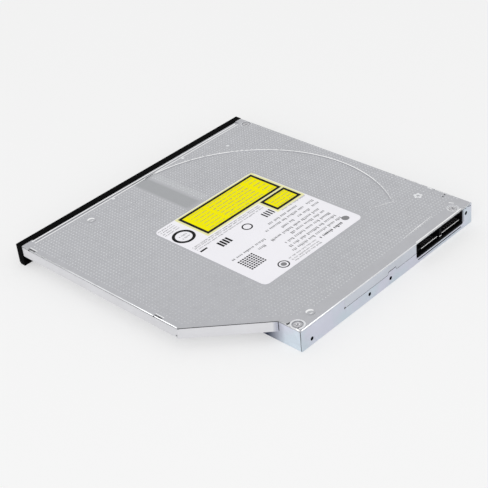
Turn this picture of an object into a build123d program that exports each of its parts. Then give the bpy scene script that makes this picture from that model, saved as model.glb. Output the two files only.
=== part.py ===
from build123d import *
import math
import os

os.makedirs("parts", exist_ok=True)

# A slim tray-load disc drive, in millimetres. X is across, Y runs from front to rear and Z is up.
# The origin lies under the middle of the whole drive, on the flat face that it rests on.

# Disc, and the room that the case leaves round it
disc_radius = 60.0
small_disc_radius = 40.0
disc_x = 1.0
side_room = 4.0
end_room = 3.05

# Case: a deep part over the mechanism, and a shallow wing on the right that only holds the tray
case_height = 9.5
wing_height = 4.8
corner_run = 26.1
corner_setback = 10.6
sheet = 0.4
seam = 0.05
fold_radius = 0.33

# Front bezel
bezel_overhang = 0.3
bezel_step = 0.1
bezel_depth = 3.4
bezel_gap = 0.3
bezel_wall = 1.2

# Tray and rails
recess_margin = 0.5
recess_depth = 2.1
tray_top_gap = 0.7
tray_web = 0.8
tray_wall = 1.0
tray_rim = 1.5
disc_lift = 0.6
rail_zone = 2.4
rail_start = 1.0
rail_end_gap = 2.0
rail_sheet = 0.3
rail_gap = 0.1
tongue_thickness = 0.8
guide_wall = 0.5

# Cover
lip = 0.65
joggle_depth = 2.2
joggle_drop = 0.35
flange_drop = 4.4
panel_drop = 0.15
panel_ramp = 7.0
panel_ramp_offset = 4.0
panel_end_angle = 141.6
panel_end_heading = 153.8
panel_end_run = 24.0
strip_left = 3.7
strip_margin = 0.6
strip_right = 5.5
hook_slot_length = 4.0
hook_slot_depth = 0.9
notch_depth = 0.7
front_hook_place = 4.0
rear_hook_offset = 12.4
left_notches = [(38.1, 2.0), (32.1, 8.0), (17.7, 9.0)]
flange_length = 43.0
flange_step = (12.5, 5.0)
flange_step_rise = 1.15
label_width = 57.2
label_length = 60.6
label_offset = (-3.3, 4.5)
label_thickness = 0.1
label_corner = 2.5
label_margin = 0.4

# Screws of the cover and holes of the rear face
screw_head_radius = 1.6
screw_radius = 0.8
screw_length = 0.9
rear_hole_radius = 0.8
rear_hole_height = 2.9
rear_hole_collar = 0.8
collar_wall = 0.4

# Connector in the rear face
socket_width = 30.4
socket_inset = 5.9
socket_bottom = 2.65
socket_depth = 7.0
socket_wall = 0.9
floor_slot = (1.35, 1.85)
tongue_blade = 1.0

# Drive mechanism under the tray
rod_radius = 1.0
rod_height = 3.15
running_gap = 0.05
main_rod_reach = 21.0
side_rod_reach = 22.0
screw_offset = 6.0
motor_room = 8.3
lead_radius = 0.9
motor_width = 6.0
motor_height = 3.4
motor_length = 10.0
pickup_gap = 1.2
reading_margin = 2.5
rotor_radius = 13.5
hub_radius = 7.35
hub_height = 1.6
shaft_radius = 1.0
pickup_front = 3.0
pickup_rear = 9.3
pickup_left = 18.0
pickup_clearance = 4.0
lens_radius = 1.6
holder_half = 2.4
chassis_sheet = 0.8
chassis_top = 5.0
plate_sheet = 0.3
shield_sheet = 0.25

# Eject button, lamp and pin hole in the bezel
button_width = 9.0
button_height = 2.4
button_inset = 20.0
button_z = 6.6
button_travel = 0.5
button_gap = 0.12
lamp_inset = 29.5
pin_hole_inset = 36.0
pin_hole_radius = 0.6

# Latch at the tray's rear edge
post_offset = 4.0
post_radius = 1.0
latch_offset = 2.5
latch_inset = 5.5
latch_sheet = 0.8
solenoid_length = 8.0
solenoid_width = 7.6
plunger_radius = 1.0

# Circuit board behind the tray's deep part
board_depth = 25.5
board_sheet = 0.8
board_gap = 3.5
board_clearance = 0.4
board_overhang = 14.0
controller_size = 12.0
driver_size = 8.0
small_chip_size = 5.0
chip_height = 1.0
flex_width = 20.0
flex_connector_depth = 4.0
capacitor_count = 6
capacitor_pitch = 3.2
capacitor_length = 2.0
capacitor_width = 1.2

# Places that follow from the sizes above
case_width = 2 * (disc_radius + side_room)
case_depth = 2 * (disc_radius + end_room)
disc_y = disc_radius + end_room
bezel_width = case_width + 2 * bezel_overhang
bezel_height = case_height - bezel_step
main_rod_x = disc_x + main_rod_reach
side_rod_x = disc_x - side_rod_reach
screw_x = main_rod_x + screw_offset
inner_reach = rotor_radius + pickup_gap + pickup_rear
outer_reach = disc_radius - reading_margin
front_y = -(case_depth - bezel_gap - bezel_depth) / 2
left_x = -case_width / 2
right_x = case_width / 2
jog_x = screw_x + motor_width / 2 + motor_room
wing_width = right_x - jog_x
corner_rear = case_depth - corner_setback
corner_front = corner_rear - corner_run
wing_z = case_height - wing_height
wing_floor = wing_z + sheet
ceiling = case_height - sheet
lip_z = case_height - lip
wall_top = lip_z - seam
flange_z = case_height - flange_drop
tray_top = ceiling - tray_top_gap
recess_z = tray_top - recess_depth
web_z = recess_z - tray_web
disc_z = recess_z + disc_lift
recess_radius = disc_radius + recess_margin
tray_front = -bezel_gap
tray_left = left_x + rail_zone
tray_right = right_x - rail_zone
plate_top = sheet + 0.8
rear_inside = case_depth - sheet
home_y = disc_y - inner_reach
board_rear = rear_inside - rear_hole_collar - board_clearance
board_front = board_rear - board_depth
deep_tray_end = board_front - board_gap
latch_x = main_rod_x + latch_offset
latch_y = deep_tray_end - latch_inset
post_x = main_rod_x
post_y = deep_tray_end + post_offset
solenoid_x = latch_x + 5.0
solenoid_rear = latch_y - 4.4
solenoid_front = solenoid_rear - solenoid_length
button_x = right_x - button_inset
lamp_x = right_x - lamp_inset
pin_hole_x = right_x - pin_hole_inset
label_x = disc_x + label_offset[0]
label_y = disc_y + label_offset[1]
panel_ramp_end = disc_x + panel_ramp_offset
panel_ramp_start = panel_ramp_end - panel_ramp
socket_left = left_x + socket_inset
socket_right = socket_left + socket_width
rail_bottom = wing_floor + rail_gap * 3
rail_height = tongue_thickness + 2 * (rail_gap + rail_sheet)


def level(height):
    """A horizontal plane at that height, whose local Y counts back from the case's front edge."""
    return Plane((0, front_y, height))


def upright(distance):
    """A plane that faces the front at that distance behind the case's front edge."""
    return Plane((0, front_y + distance, 0), x_dir=(1, 0, 0), z_dir=(0, -1, 0))


def sideways(across):
    """A plane that faces right at that place across, whose local X counts back from the front edge."""
    return Plane((across, front_y, 0), x_dir=(0, 1, 0), z_dir=(1, 0, 0))


def block(x_span, y_span, z_span, mode=Mode.ADD):
    """A box between two limits on each axis, Y counted from the case's front edge."""
    size = [high - low for low, high in (x_span, y_span, z_span)]
    with Locations((x_span[0], front_y + y_span[0], z_span[0])):
        Box(*size, align=(Align.MIN, Align.MIN, Align.MIN), mode=mode)


def post(x, y, radius, z_span, mode=Mode.ADD):
    """An upright cylinder between two heights."""
    with Locations((x, front_y + y, z_span[0])):
        Cylinder(radius, z_span[1] - z_span[0], align=(Align.CENTER, Align.CENTER, Align.MIN), mode=mode)


def rod(x, z, radius, y_span, mode=Mode.ADD):
    """A cylinder that lies along Y between two distances from the front edge."""
    with Locations(Location((x, front_y + y_span[1], z), (90, 0, 0))):
        Cylinder(radius, y_span[1] - y_span[0], align=(Align.CENTER, Align.CENTER, Align.MIN), mode=mode)


def keep(part, name):
    """Labels a finished piece and writes its file."""
    part.label = name
    export_step(part, f"parts/{name}.step")


# Outlines seen from above
with BuildSketch() as deep_shape:
    with BuildLine():
        Polyline((left_x, 0), (jog_x, 0), (jog_x, case_depth), (left_x, case_depth), close=True)
    make_face()

with BuildSketch() as deep_inside:
    with BuildLine():
        Polyline(
            (left_x + sheet, -sheet), (jog_x - sheet, -sheet), (jog_x - sheet, rear_inside),
            (left_x + sheet, rear_inside), close=True,
        )
    make_face()

with BuildSketch() as case_shape:
    with BuildLine():
        Polyline(
            (left_x, 0), (right_x, 0), (right_x, corner_front), (jog_x, corner_rear),
            (jog_x, case_depth), (left_x, case_depth), close=True,
        )
    make_face()

with BuildSketch() as case_inside:
    with BuildLine():
        Polyline(
            (left_x, -sheet), (right_x, -sheet), (right_x, corner_front), (jog_x, corner_rear),
            (jog_x, case_depth), (left_x, case_depth), close=True,
        )
    make_face()
    offset(amount=-sheet, kind=Kind.INTERSECTION)

# Screws of the cover: place, and the tab of the case that each one is turned into
tab_z = wall_top - sheet
corner_screw = (jog_x - 2.5, case_depth - 3.6)
socket_screw = (left_x + 7.8, case_depth - 3.4)
front_screw = (left_x + 2.6, 5.8)
cover_screw_places = [corner_screw, socket_screw, front_screw]
screw_recess = ceiling - wall_top
screw_seat_radius = screw_head_radius + 0.5

# Holes of the rear face, threaded ones with a drawn collar inside
rear_hole_places = [jog_x - 5.55, disc_x, disc_x - 12.6]
side_hole = (left_x + 3.7, rear_hole_height + 3.4)

# Circuit board behind the tray's deep part, at the height of the connector
board_top = socket_bottom + seam
board_z = board_top - board_sheet
board_boss_radius = 1.7
board_screw_radius = 0.7
board_left = left_x + sheet + 1.6
board_right = socket_right + board_overhang
socket_front = case_depth - socket_depth
driver_rear = socket_front - 4.1
board_screw_places = [
    (board_left + 2.5, board_front + 2.5),
    (board_right - 2.5, board_front + 2.5),
    (board_right - 2.5, board_rear - 2.5),
]

# Strip along the cut corner, where the wall reaches up to the cover's flat sheet
corner_length = math.hypot(wing_width, corner_run)
corner_along = (-wing_width / corner_length, corner_run / corner_length)
corner_inward = (-corner_along[1], corner_along[0])


def corner_strip(start, end, width):
    """A band inside the cut corner's edge, between two distances from its front end."""
    near = (right_x + corner_along[0] * start, corner_front + corner_along[1] * start)
    far = (right_x + corner_along[0] * end, corner_front + corner_along[1] * end)
    shift = (corner_inward[0] * width, corner_inward[1] * width)
    return [near, far, (far[0] + shift[0], far[1] + shift[1]), (near[0] + shift[0], near[1] + shift[1])]


# Bottom case: one folded sheet with floor, walls, the wing's floor and tabs for the cover's screws
flange_right = socket_right + flange_length
flange_step_span = (socket_right + flange_step[0], socket_right + flange_step[0] + flange_step[1])
with BuildPart() as bottom_case:
    with BuildSketch(level(0)):
        add(deep_shape.sketch)
    extrude(amount=wall_top)
    with BuildSketch(level(wing_z)):
        add(case_shape.sketch)
    extrude(amount=wall_top - wing_z)
    with BuildSketch(level(sheet)):
        add(deep_inside.sketch)
    extrude(amount=case_height, mode=Mode.SUBTRACT)
    with BuildSketch(level(wing_floor)):
        add(case_inside.sketch)
    extrude(amount=case_height, mode=Mode.SUBTRACT)
    floor_edges = bottom_case.edges().group_by(Axis.Z)[0]
    fillet(floor_edges.sort_by(Axis.Y)[1:], radius=sheet)
    # rear wall: the connector's opening and the lower part under the cover's flange
    block((socket_left, socket_right), (rear_inside - 1, case_depth + 1), (socket_bottom, case_height),
          Mode.SUBTRACT)
    block((socket_right - seam, flange_right), (rear_inside - 0.2, case_depth + 1),
          (flange_z - seam, case_height), Mode.SUBTRACT)
    block(flange_step_span, (rear_inside, case_depth), (flange_z - sheet, flange_z + flange_step_rise))
    block((socket_left + 1, socket_right - 1), (rear_inside - 1, case_depth + 1), floor_slot, Mode.SUBTRACT)
    for hole_x in rear_hole_places:
        rod(hole_x, rear_hole_height, rear_hole_radius + collar_wall,
            (rear_inside - rear_hole_collar, rear_inside + 0.1))
    for hole_x in rear_hole_places:
        rod(hole_x, rear_hole_height, rear_hole_radius,
            (rear_inside - rear_hole_collar - 1, case_depth + 1), Mode.SUBTRACT)
    rod(side_hole[0], side_hole[1], rear_hole_radius, (rear_inside - 1, case_depth + 1), Mode.SUBTRACT)
    # the cut corner's wall reaches up to the cover's sheet
    with BuildSketch(level(wall_top - 0.1)):
        with BuildLine():
            Polyline(*corner_strip(strip_margin, corner_length - strip_margin, sheet), close=True)
        make_face()
    extrude(amount=ceiling - seam - wall_top + 0.1)
    with Locations(Location((right_x, front_y + corner_front - 0.9, wing_z + 1.0), (0, 90, 0))):
        Cylinder(0.35, 4 * sheet, mode=Mode.SUBTRACT)
    # open seams where two walls meet at a corner
    block((jog_x, jog_x + 0.12), (corner_rear - 0.35, corner_rear + 0.1), (wing_floor, case_height),
          Mode.SUBTRACT)
    block((jog_x - 0.15, jog_x + 1), (case_depth - sheet - 0.05, case_depth - sheet + 0.1),
          (wing_floor, case_height), Mode.SUBTRACT)
    # tabs under the cover
    block((jog_x - 7, jog_x - sheet), (case_depth - 7.5, rear_inside), (tab_z, wall_top))
    block((left_x + sheet, front_screw[0] + 1.7), (front_screw[1] - 2.6, front_screw[1] + 2.6),
          (tab_z, wall_top))
    for place in (corner_screw, front_screw):
        post(*place, screw_radius + 0.02, (tab_z - 1, case_height), Mode.SUBTRACT)
    # bosses that the circuit board is screwed to
    for place in board_screw_places:
        post(*place, board_boss_radius, (sheet - 0.1, board_z))
        post(*place, board_screw_radius, (-1, board_z + 1), Mode.SUBTRACT)
    # stiffening beads pressed into the floor
    for bead_x in (left_x + 22, jog_x - 22):
        with BuildSketch(level(0)):
            with Locations((bead_x, case_depth / 2)):
                SlotOverall(case_depth * 0.6, 5, rotation=90)
        extrude(amount=0.15, mode=Mode.SUBTRACT)
keep(bottom_case.part, "bottom_case")

# Sunken panel of the cover: part of the disc's circle, with a gentle ramp on its right side
arc_end = (
    disc_x + disc_radius * math.cos(math.radians(panel_end_angle)),
    disc_y + disc_radius * math.sin(math.radians(panel_end_angle)),
)
end_line_start = (
    arc_end[0] - panel_end_run * math.cos(math.radians(panel_end_heading)),
    arc_end[1] - panel_end_run * math.sin(math.radians(panel_end_heading)),
)
arc_middle_angle = math.radians((panel_end_angle + 270) / 2)
arc_middle = (disc_x + disc_radius * math.cos(arc_middle_angle),
              disc_y + disc_radius * math.sin(arc_middle_angle))
with BuildPart() as panel:
    with BuildSketch(level(case_height - panel_drop)):
        with BuildLine():
            Polyline((disc_x, disc_y), end_line_start, arc_end)
            ThreePointArc(arc_end, arc_middle, (disc_x, disc_y - disc_radius))
            Line((disc_x, disc_y - disc_radius), (disc_x, disc_y))
        make_face()
        with Locations((panel_ramp_start, 0)):
            Rectangle(case_width, case_depth * 3, align=(Align.MIN, Align.CENTER), mode=Mode.SUBTRACT)
    extrude(amount=panel_drop + 1)
    with BuildSketch(upright(disc_y)):
        with BuildLine():
            Polyline(
                (panel_ramp_start, case_height + 1), (panel_ramp_start, case_height - panel_drop),
                (panel_ramp_end, case_height), (panel_ramp_end, case_height + 1), close=True,
            )
        make_face()
    extrude(amount=math.sqrt(disc_radius**2 - (panel_ramp_end - disc_x) ** 2))
    # the label lies on a flat field that isn't sunken
    with BuildSketch(level(case_height - panel_drop - 1)):
        with Locations((label_x, label_y)):
            RectangleRounded(label_width + 2 * label_margin, label_length + 2 * label_margin, label_corner)
    extrude(amount=case_height, mode=Mode.SUBTRACT)
panel_shape = panel.part

# The same shape a sheet lower and cut off at the sheet's underside, for the bulge below
with BuildPart() as panel_bulge:
    add(panel_shape.moved(Location((0, 0, -sheet))))
    block((left_x, right_x), (-1, case_depth), (ceiling, case_height + 2), Mode.SUBTRACT)

# Top cover: sheet with a folded lip, a joggled front strip, a rear flange and pressed features
dimple_places = [(right_x - 29.7, 8.3), (jog_x - 10.8, case_depth - 4.9)]
pip_places = [(disc_x + 16.9, 3.6), (disc_x - 23.8, 3.8), (left_x + 21.9, 12.6)]
with BuildPart() as top_cover:
    with BuildSketch(level(lip_z)):
        add(case_shape.sketch)
    extrude(amount=lip)
    with BuildSketch(level(lip_z)):
        add(case_inside.sketch)
    extrude(amount=lip - sheet, mode=Mode.SUBTRACT)
    # rear flange with its stepped lower edge, and the bare edge above the connector
    block((socket_right + seam, flange_right - seam), (rear_inside, case_depth), (flange_z, lip_z + 0.1))
    block((flange_step_span[0] - seam, flange_step_span[1] + seam), (rear_inside - 1, case_depth + 1),
          (flange_z - 1, flange_z + flange_step_rise + seam), Mode.SUBTRACT)
    block((socket_left, socket_right), (rear_inside - 1, case_depth + 1), (lip_z - 1, ceiling),
          Mode.SUBTRACT)
    top_edges = top_cover.edges().filter_by_position(Axis.Z, case_height - 0.01, case_height + 0.01)
    outer_edges = top_edges.sort_by(Axis.Y)[1:]
    folded_edges = [edge for edge in outer_edges if abs(abs(edge.tangent_at(0.5).X) - 0.5) > 0.4]
    fillet(folded_edges, radius=fold_radius)
    with BuildSketch(level(lip_z - 0.1)):
        with BuildLine():
            Polyline(*corner_strip(strip_margin - seam, corner_length - strip_margin + seam, lip + 0.1),
                     close=True)
        make_face()
    extrude(amount=ceiling - lip_z + 0.1, mode=Mode.SUBTRACT)
    # front strip, pressed lower so that the bezel clears it
    block((left_x + strip_left, right_x - strip_right), (-1, joggle_depth),
          (case_height - joggle_drop, case_height + 1), Mode.SUBTRACT)
    block((left_x + strip_left, right_x - strip_right), (0, joggle_depth + sheet),
          (ceiling - joggle_drop, case_height - joggle_drop))
    # sunken panel: the sheet is pushed down below as much as above
    add(panel_bulge.part)
    add(panel_shape, mode=Mode.SUBTRACT)
    for place in dimple_places:
        post(*place, 2.3, (ceiling - 0.25, ceiling + 0.1))
        with Locations((place[0], front_y + place[1], case_height + 0.01)):
            Cone(1.7, 2.5, 0.3, align=(Align.CENTER, Align.CENTER, Align.MAX), mode=Mode.SUBTRACT)
    for place in pip_places:
        post(*place, 0.9, (ceiling - 0.2, ceiling + 0.1))
        post(*place, 0.7, (case_height - 0.2, case_height + 1), Mode.SUBTRACT)
    for place in cover_screw_places:
        post(*place, screw_seat_radius + sheet, (wall_top, ceiling + 0.05))
        post(*place, screw_seat_radius, (case_height - screw_recess, case_height + 1), Mode.SUBTRACT)
        post(*place, screw_radius + 0.02, (wall_top - 1, case_height + 1), Mode.SUBTRACT)
    # slots for the case's hooks in the right and left edges
    for hook_y in (front_hook_place, corner_front - rear_hook_offset):
        block((right_x - hook_slot_depth, right_x + 1), (hook_y, hook_y + hook_slot_length),
              (ceiling - 0.1, case_height + 1), Mode.SUBTRACT)
    for rear_offset, notch_length in left_notches:
        notch_y = case_depth - rear_offset
        block((left_x - 1, left_x + notch_depth), (notch_y, notch_y + notch_length),
              (ceiling - 0.1, case_height + 1), Mode.SUBTRACT)
    # double slot beside the corner screw
    block((jog_x - 1.7, jog_x - 0.3), (corner_screw[1] - 3.05, corner_screw[1] - 2.75),
          (ceiling - 0.1, case_height + 1), Mode.SUBTRACT)
    for slot_x in (jog_x - 1.6, jog_x - 0.6):
        post(slot_x, corner_screw[1] - 2.9, 0.3, (ceiling - 0.1, case_height + 1), Mode.SUBTRACT)
keep(top_cover.part, "top_cover")

# Label: a thin sticker on the flat field inside the sunken panel
with BuildPart() as rating_label:
    with BuildSketch(level(case_height)):
        with Locations((label_x, label_y)):
            RectangleRounded(label_width, label_length, label_corner)
    extrude(amount=label_thickness)
keep(rating_label.part, "rating_label")

# Cover screws, heads flush with the cover
with BuildPart() as cover_screws:
    for place in cover_screw_places:
        head_z = case_height - screw_recess
        post(*place, screw_head_radius, (head_z, case_height))
        post(*place, screw_radius, (head_z - screw_length, head_z + 0.1))
keep(cover_screws.part, "cover_screws")

# Rail guides: moulded channels on the inner sides of the case, open towards the tray
guide_inner = tray_right + rail_gap * 3
guide_back = right_x - sheet - guide_wall
guide_top = rail_bottom + rail_height + rail_gap + 0.6
guide_end = corner_front - 1.4
guide_start = 2.5
rail_length = guide_end - rail_end_gap - rail_start


with BuildPart() as rail_guide_right:
    with BuildSketch(upright(guide_end)):
        with BuildLine():
            Polyline(
                (right_x - sheet, wing_floor), (guide_inner, wing_floor),
                (guide_inner, rail_bottom - rail_gap), (guide_back, rail_bottom - rail_gap),
                (guide_back, rail_bottom + rail_height + rail_gap),
                (guide_inner, rail_bottom + rail_height + rail_gap),
                (guide_inner, guide_top), (right_x - sheet, guide_top), close=True,
            )
        make_face()
    extrude(amount=guide_end - guide_start)
keep(rail_guide_right.part, "rail_guide_right")

with BuildPart() as rail_guide_left:
    add(rail_guide_right.part.mirror(Plane.YZ))
    block((left_x + sheet, left_x + sheet + guide_wall), (guide_start, guide_end),
          (sheet, wing_floor + 0.1))
    for foot_y in (guide_start, (guide_start + guide_end) / 2 - 2, guide_end - 4):
        block((left_x + sheet, left_x + rail_zone - rail_gap * 3), (foot_y, foot_y + 4),
              (sheet, sheet + 0.5))
keep(rail_guide_left.part, "rail_guide_left")

# Slide rails: folded channels that ride in the guides and carry the tray's edges
rail_outer = guide_back - rail_gap
rail_inner = tray_right + 0.15
with BuildPart() as slide_rail_right:
    with BuildSketch(upright(rail_start + rail_length)):
        with BuildLine():
            Polyline(
                (rail_inner, rail_bottom), (rail_outer, rail_bottom),
                (rail_outer, rail_bottom + rail_height), (rail_inner, rail_bottom + rail_height),
                (rail_inner, rail_bottom + rail_height - rail_sheet),
                (rail_outer - rail_sheet, rail_bottom + rail_height - rail_sheet),
                (rail_outer - rail_sheet, rail_bottom + rail_sheet),
                (rail_inner, rail_bottom + rail_sheet), close=True,
            )
        make_face()
    extrude(amount=rail_length)
keep(slide_rail_right.part, "slide_rail_right")

with BuildPart() as slide_rail_left:
    add(slide_rail_right.part.mirror(Plane.YZ))
keep(slide_rail_left.part, "slide_rail_left")

# Mechanism frame under the tray, and the rubber mounts that carry it under the tray's web
chassis_z = chassis_top - chassis_sheet
chassis_left = side_rod_x - 12
chassis_front = tray_front + tray_wall + 0.3
hatch_rear = disc_y + rotor_radius + 4.5
chassis_rear = hatch_rear + 2.5
chassis_skirt = 2.0
motor_front = home_y + pickup_rear + 1.6
motor_rear = motor_front + motor_length
damper_pin_radius = 1.0
damper_pin_z = 3.4
damper_waist = 1.6
damper_flange = 2.0
left_damper_x = side_rod_x - 9.0
right_damper_x = jog_x - 5.25
damper_places = [
    (left_damper_x, chassis_front + 13.0), (left_damper_x, chassis_rear - 5.5),
    (right_damper_x, chassis_front + 13.0), (right_damper_x, motor_rear + 3.7),
]

# Tray: outline, then the disc's recess, the deep part's walls and the opening over the mechanism
shoulder_width = 2.4
notch_angle = math.radians(120)
notch_radius = 5.0
shoulder_z = tray_top - 0.6
deep_left = tray_left + 0.6
deep_right = jog_x - sheet - 0.6
hatch_left = side_rod_x - 6
hatch_right = screw_x + 4
hatch_front = disc_y - outer_reach - holder_half - 0.6
front_wall_rear = tray_front + 1.2
skin_z = tray_top - tray_web
tongue_z = rail_bottom + rail_sheet + rail_gap
tongue_reach = rail_outer - rail_sheet - rail_gap
hook_places = [left_x + 7, left_x + 16]
switch_front = front_wall_rear + 0.3
stem_width = 2.0
stem_height = 1.0
with BuildSketch() as tray_shape:
    with Locations((0, tray_front)):
        Rectangle(tray_right - tray_left, guide_end - tray_front, align=(Align.CENTER, Align.MIN))
    with Locations((disc_x, disc_y)):
        Circle(recess_radius + tray_rim)
    with Locations((0, tray_front)):
        Rectangle(tray_right - tray_left, rear_inside - 0.4 - tray_front, align=(Align.CENTER, Align.MIN),
                  mode=Mode.INTERSECT)

with BuildSketch() as corner_pockets:
    with BuildLine():
        Polyline(
            (tray_left + shoulder_width + tray_wall, front_wall_rear),
            (tray_right - tray_wall, front_wall_rear), (tray_right - tray_wall, disc_y / 2),
            (tray_left + shoulder_width + tray_wall, disc_y / 2), close=True,
        )
    make_face()
    with Locations((disc_x, disc_y)):
        Circle(recess_radius + tray_wall, mode=Mode.SUBTRACT)

with BuildPart() as tray:
    with BuildSketch(level(web_z)):
        add(tray_shape.sketch)
    extrude(amount=tray_top - web_z)
    # side wall round the deep part, open to the rear for the latch
    block((deep_left, deep_right), (tray_front, deep_tray_end), (plate_top, web_z + 0.1))
    block((deep_left + tray_wall, deep_right - tray_wall),
          (tray_front + tray_wall, deep_tray_end - tray_wall),
          (plate_top - 1, web_z), Mode.SUBTRACT)
    # recess for the disc, and the shallower one for a small disc
    post(disc_x, disc_y, recess_radius, (recess_z, tray_top + 1), Mode.SUBTRACT)
    post(disc_x, disc_y, small_disc_radius + recess_margin, (recess_z - 0.25, tray_top), Mode.SUBTRACT)
    # the rim ends where the disc comes close to the right rail, and is lower along the left edge
    block((tray_right - 2.6, tray_right + 1), (disc_y - 24, guide_end + 1), (recess_z, tray_top + 1),
          Mode.SUBTRACT)
    block((tray_left - 1, tray_left + shoulder_width), (tray_front - 1, case_depth),
          (shoulder_z, tray_top + 1), Mode.SUBTRACT)
    # hollow undersides of the front corners
    with BuildSketch(level(web_z - 1)):
        add(corner_pockets.sketch)
    extrude(amount=skin_z - web_z + 1, mode=Mode.SUBTRACT)
    # edges that slide in the rails
    block((tray_right - 0.5, tongue_reach), (front_wall_rear, guide_end),
          (tongue_z, tongue_z + tongue_thickness))
    block((-tongue_reach, tray_left + 0.5), (front_wall_rear, guide_end),
          (tongue_z, tongue_z + tongue_thickness))
    # opening over the pickup and the disc motor
    with BuildSketch(level(web_z - 1)):
        with Locations(((hatch_left + hatch_right) / 2, (hatch_front + hatch_rear) / 2)):
            RectangleRounded(hatch_right - hatch_left, hatch_rear - hatch_front, 3)
    extrude(amount=tray_top, mode=Mode.SUBTRACT)
    # slots for the bezel's hooks, the button's stem, the lamp's light and the release pin
    for hook_x in hook_places:
        block((hook_x - 2.4, hook_x + 2.4), (tray_front - 1, tray_front + tray_wall + 0.5), (2.1, 3.9),
              Mode.SUBTRACT)
    block((button_x - stem_width / 2 - 0.4, button_x + stem_width / 2 + 0.4),
          (tray_front - 1, front_wall_rear + 0.5),
          (button_z - stem_height, button_z + stem_height), Mode.SUBTRACT)
    rod(lamp_x, button_z, 0.9, (tray_front - 1, front_wall_rear + 0.5), Mode.SUBTRACT)
    rod(pin_hole_x, button_z, 0.9, (tray_front - 1, front_wall_rear + 0.5), Mode.SUBTRACT)
    block((post_x - 1.8, latch_x + 5.5), (deep_tray_end - 2, deep_tray_end + 1), (plate_top - 1, 4.1),
          Mode.SUBTRACT)
    # finger notch in the rim at the rear
    with Locations((disc_x + recess_radius * math.cos(notch_angle),
                    disc_y + recess_radius * math.sin(notch_angle), tray_top)):
        Cylinder(notch_radius, 2 * (recess_depth - 0.4), mode=Mode.SUBTRACT)
    # cut-out round the connector
    block((left_x, socket_right + 0.5), (case_depth - socket_depth - 0.5, case_depth),
          (web_z - 1, tray_top + 1), Mode.SUBTRACT)
    # bosses for the rubber mounts of the mechanism
    for place in damper_places:
        post(*place, damper_pin_radius, (damper_pin_z, web_z + 0.1))
keep(tray.part, "tray")

# Plate that closes the tray's underside
with BuildPart() as tray_bottom_plate:
    with BuildSketch(level(plate_top - plate_sheet)):
        with Locations(((deep_left + deep_right) / 2, (tray_front + deep_tray_end) / 2)):
            RectangleRounded(deep_right - deep_left - 0.4, deep_tray_end - tray_front - 0.4, 1.5)
        with Locations((disc_x, disc_y)):
            Circle(rotor_radius - 5, mode=Mode.SUBTRACT)
        with Locations((disc_x, home_y - 12)):
            SlotOverall(26, 5, rotation=90, mode=Mode.SUBTRACT)
    extrude(amount=plate_sheet)
keep(tray_bottom_plate.part, "tray_bottom_plate")

# Mechanism frame: a stamped plate with folded edges, hung on the rubber mounts
chassis_right = deep_right - tray_wall - 0.3
boss_reach = rotor_radius + 3.0
base_boss_places = [
    (disc_x - boss_reach, disc_y + 5),
    (disc_x + boss_reach, disc_y + 5),
    (disc_x, disc_y + boss_reach + 0.5),
]
base_z = 1.9
base_top = base_z + 0.4
with BuildPart() as mechanism_frame:
    block((chassis_left, chassis_right), (chassis_front, chassis_rear), (chassis_skirt, chassis_top))
    block((chassis_left + chassis_sheet, chassis_right - chassis_sheet),
          (chassis_front + chassis_sheet, chassis_rear + 1), (chassis_skirt - 1, chassis_z), Mode.SUBTRACT)
    block((side_rod_x - 5, screw_x + 3.9), (chassis_front + chassis_sheet, home_y + pickup_rear + 1.2),
          (chassis_skirt, case_height), Mode.SUBTRACT)
    block((screw_x - motor_width / 2 - 0.8, screw_x + 3.9), (home_y + pickup_rear, motor_rear + 0.8),
          (chassis_skirt, case_height), Mode.SUBTRACT)
    post(disc_x, disc_y, rotor_radius + 0.9, (chassis_skirt, case_height), Mode.SUBTRACT)
    block((disc_x + boss_reach + 2.0, chassis_right + 1), (solenoid_front - 1.2, case_depth),
          (chassis_skirt - 1, case_height), Mode.SUBTRACT)
    for place in base_boss_places:
        post(*place, 1.6, (base_top, chassis_z + 0.1))
        post(*place, 0.6, (base_top - 1, case_height), Mode.SUBTRACT)
    for place in damper_places:
        post(*place, damper_waist, (chassis_skirt, case_height), Mode.SUBTRACT)
keep(mechanism_frame.part, "mechanism_frame")

with BuildPart() as rubber_mounts:
    for place in damper_places:
        post(*place, damper_flange, (chassis_top, web_z))
        post(*place, damper_flange, (damper_pin_z, chassis_z))
        post(*place, damper_waist, (damper_pin_z, web_z))
        post(*place, damper_pin_radius, (damper_pin_z - 1, web_z + 1), Mode.SUBTRACT)
keep(rubber_mounts.part, "rubber_mounts")

with BuildPart() as mount_screws:
    for place in damper_places:
        post(*place, 1.9, (damper_pin_z - 0.5, damper_pin_z))
keep(mount_screws.part, "mount_screws")

# Guide rods, and the blocks that hold their ends under the frame
holder_front = (chassis_front + chassis_sheet, chassis_front + chassis_sheet + 1.7)
holder_rear = (home_y + pickup_rear + 1.2, home_y + pickup_rear + 3.6)
with BuildPart() as guide_rods:
    for rod_x in (main_rod_x, side_rod_x):
        rod(rod_x, rod_height, rod_radius, (holder_front[0] + 0.1, holder_rear[1] - 0.1))
keep(guide_rods.part, "guide_rods")

with BuildPart() as rod_holders:
    for rod_x in (main_rod_x, side_rod_x):
        block((rod_x - 1.7, rod_x + 1.7), holder_front, (chassis_skirt, chassis_z))
        block((rod_x - 1.7, rod_x + 1.7), holder_rear, (chassis_skirt, chassis_z))
        rod(rod_x, rod_height, rod_radius + 0.02, (holder_front[0] + 0.1, holder_rear[1] - 0.1),
            Mode.SUBTRACT)
keep(rod_holders.part, "rod_holders")

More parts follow.
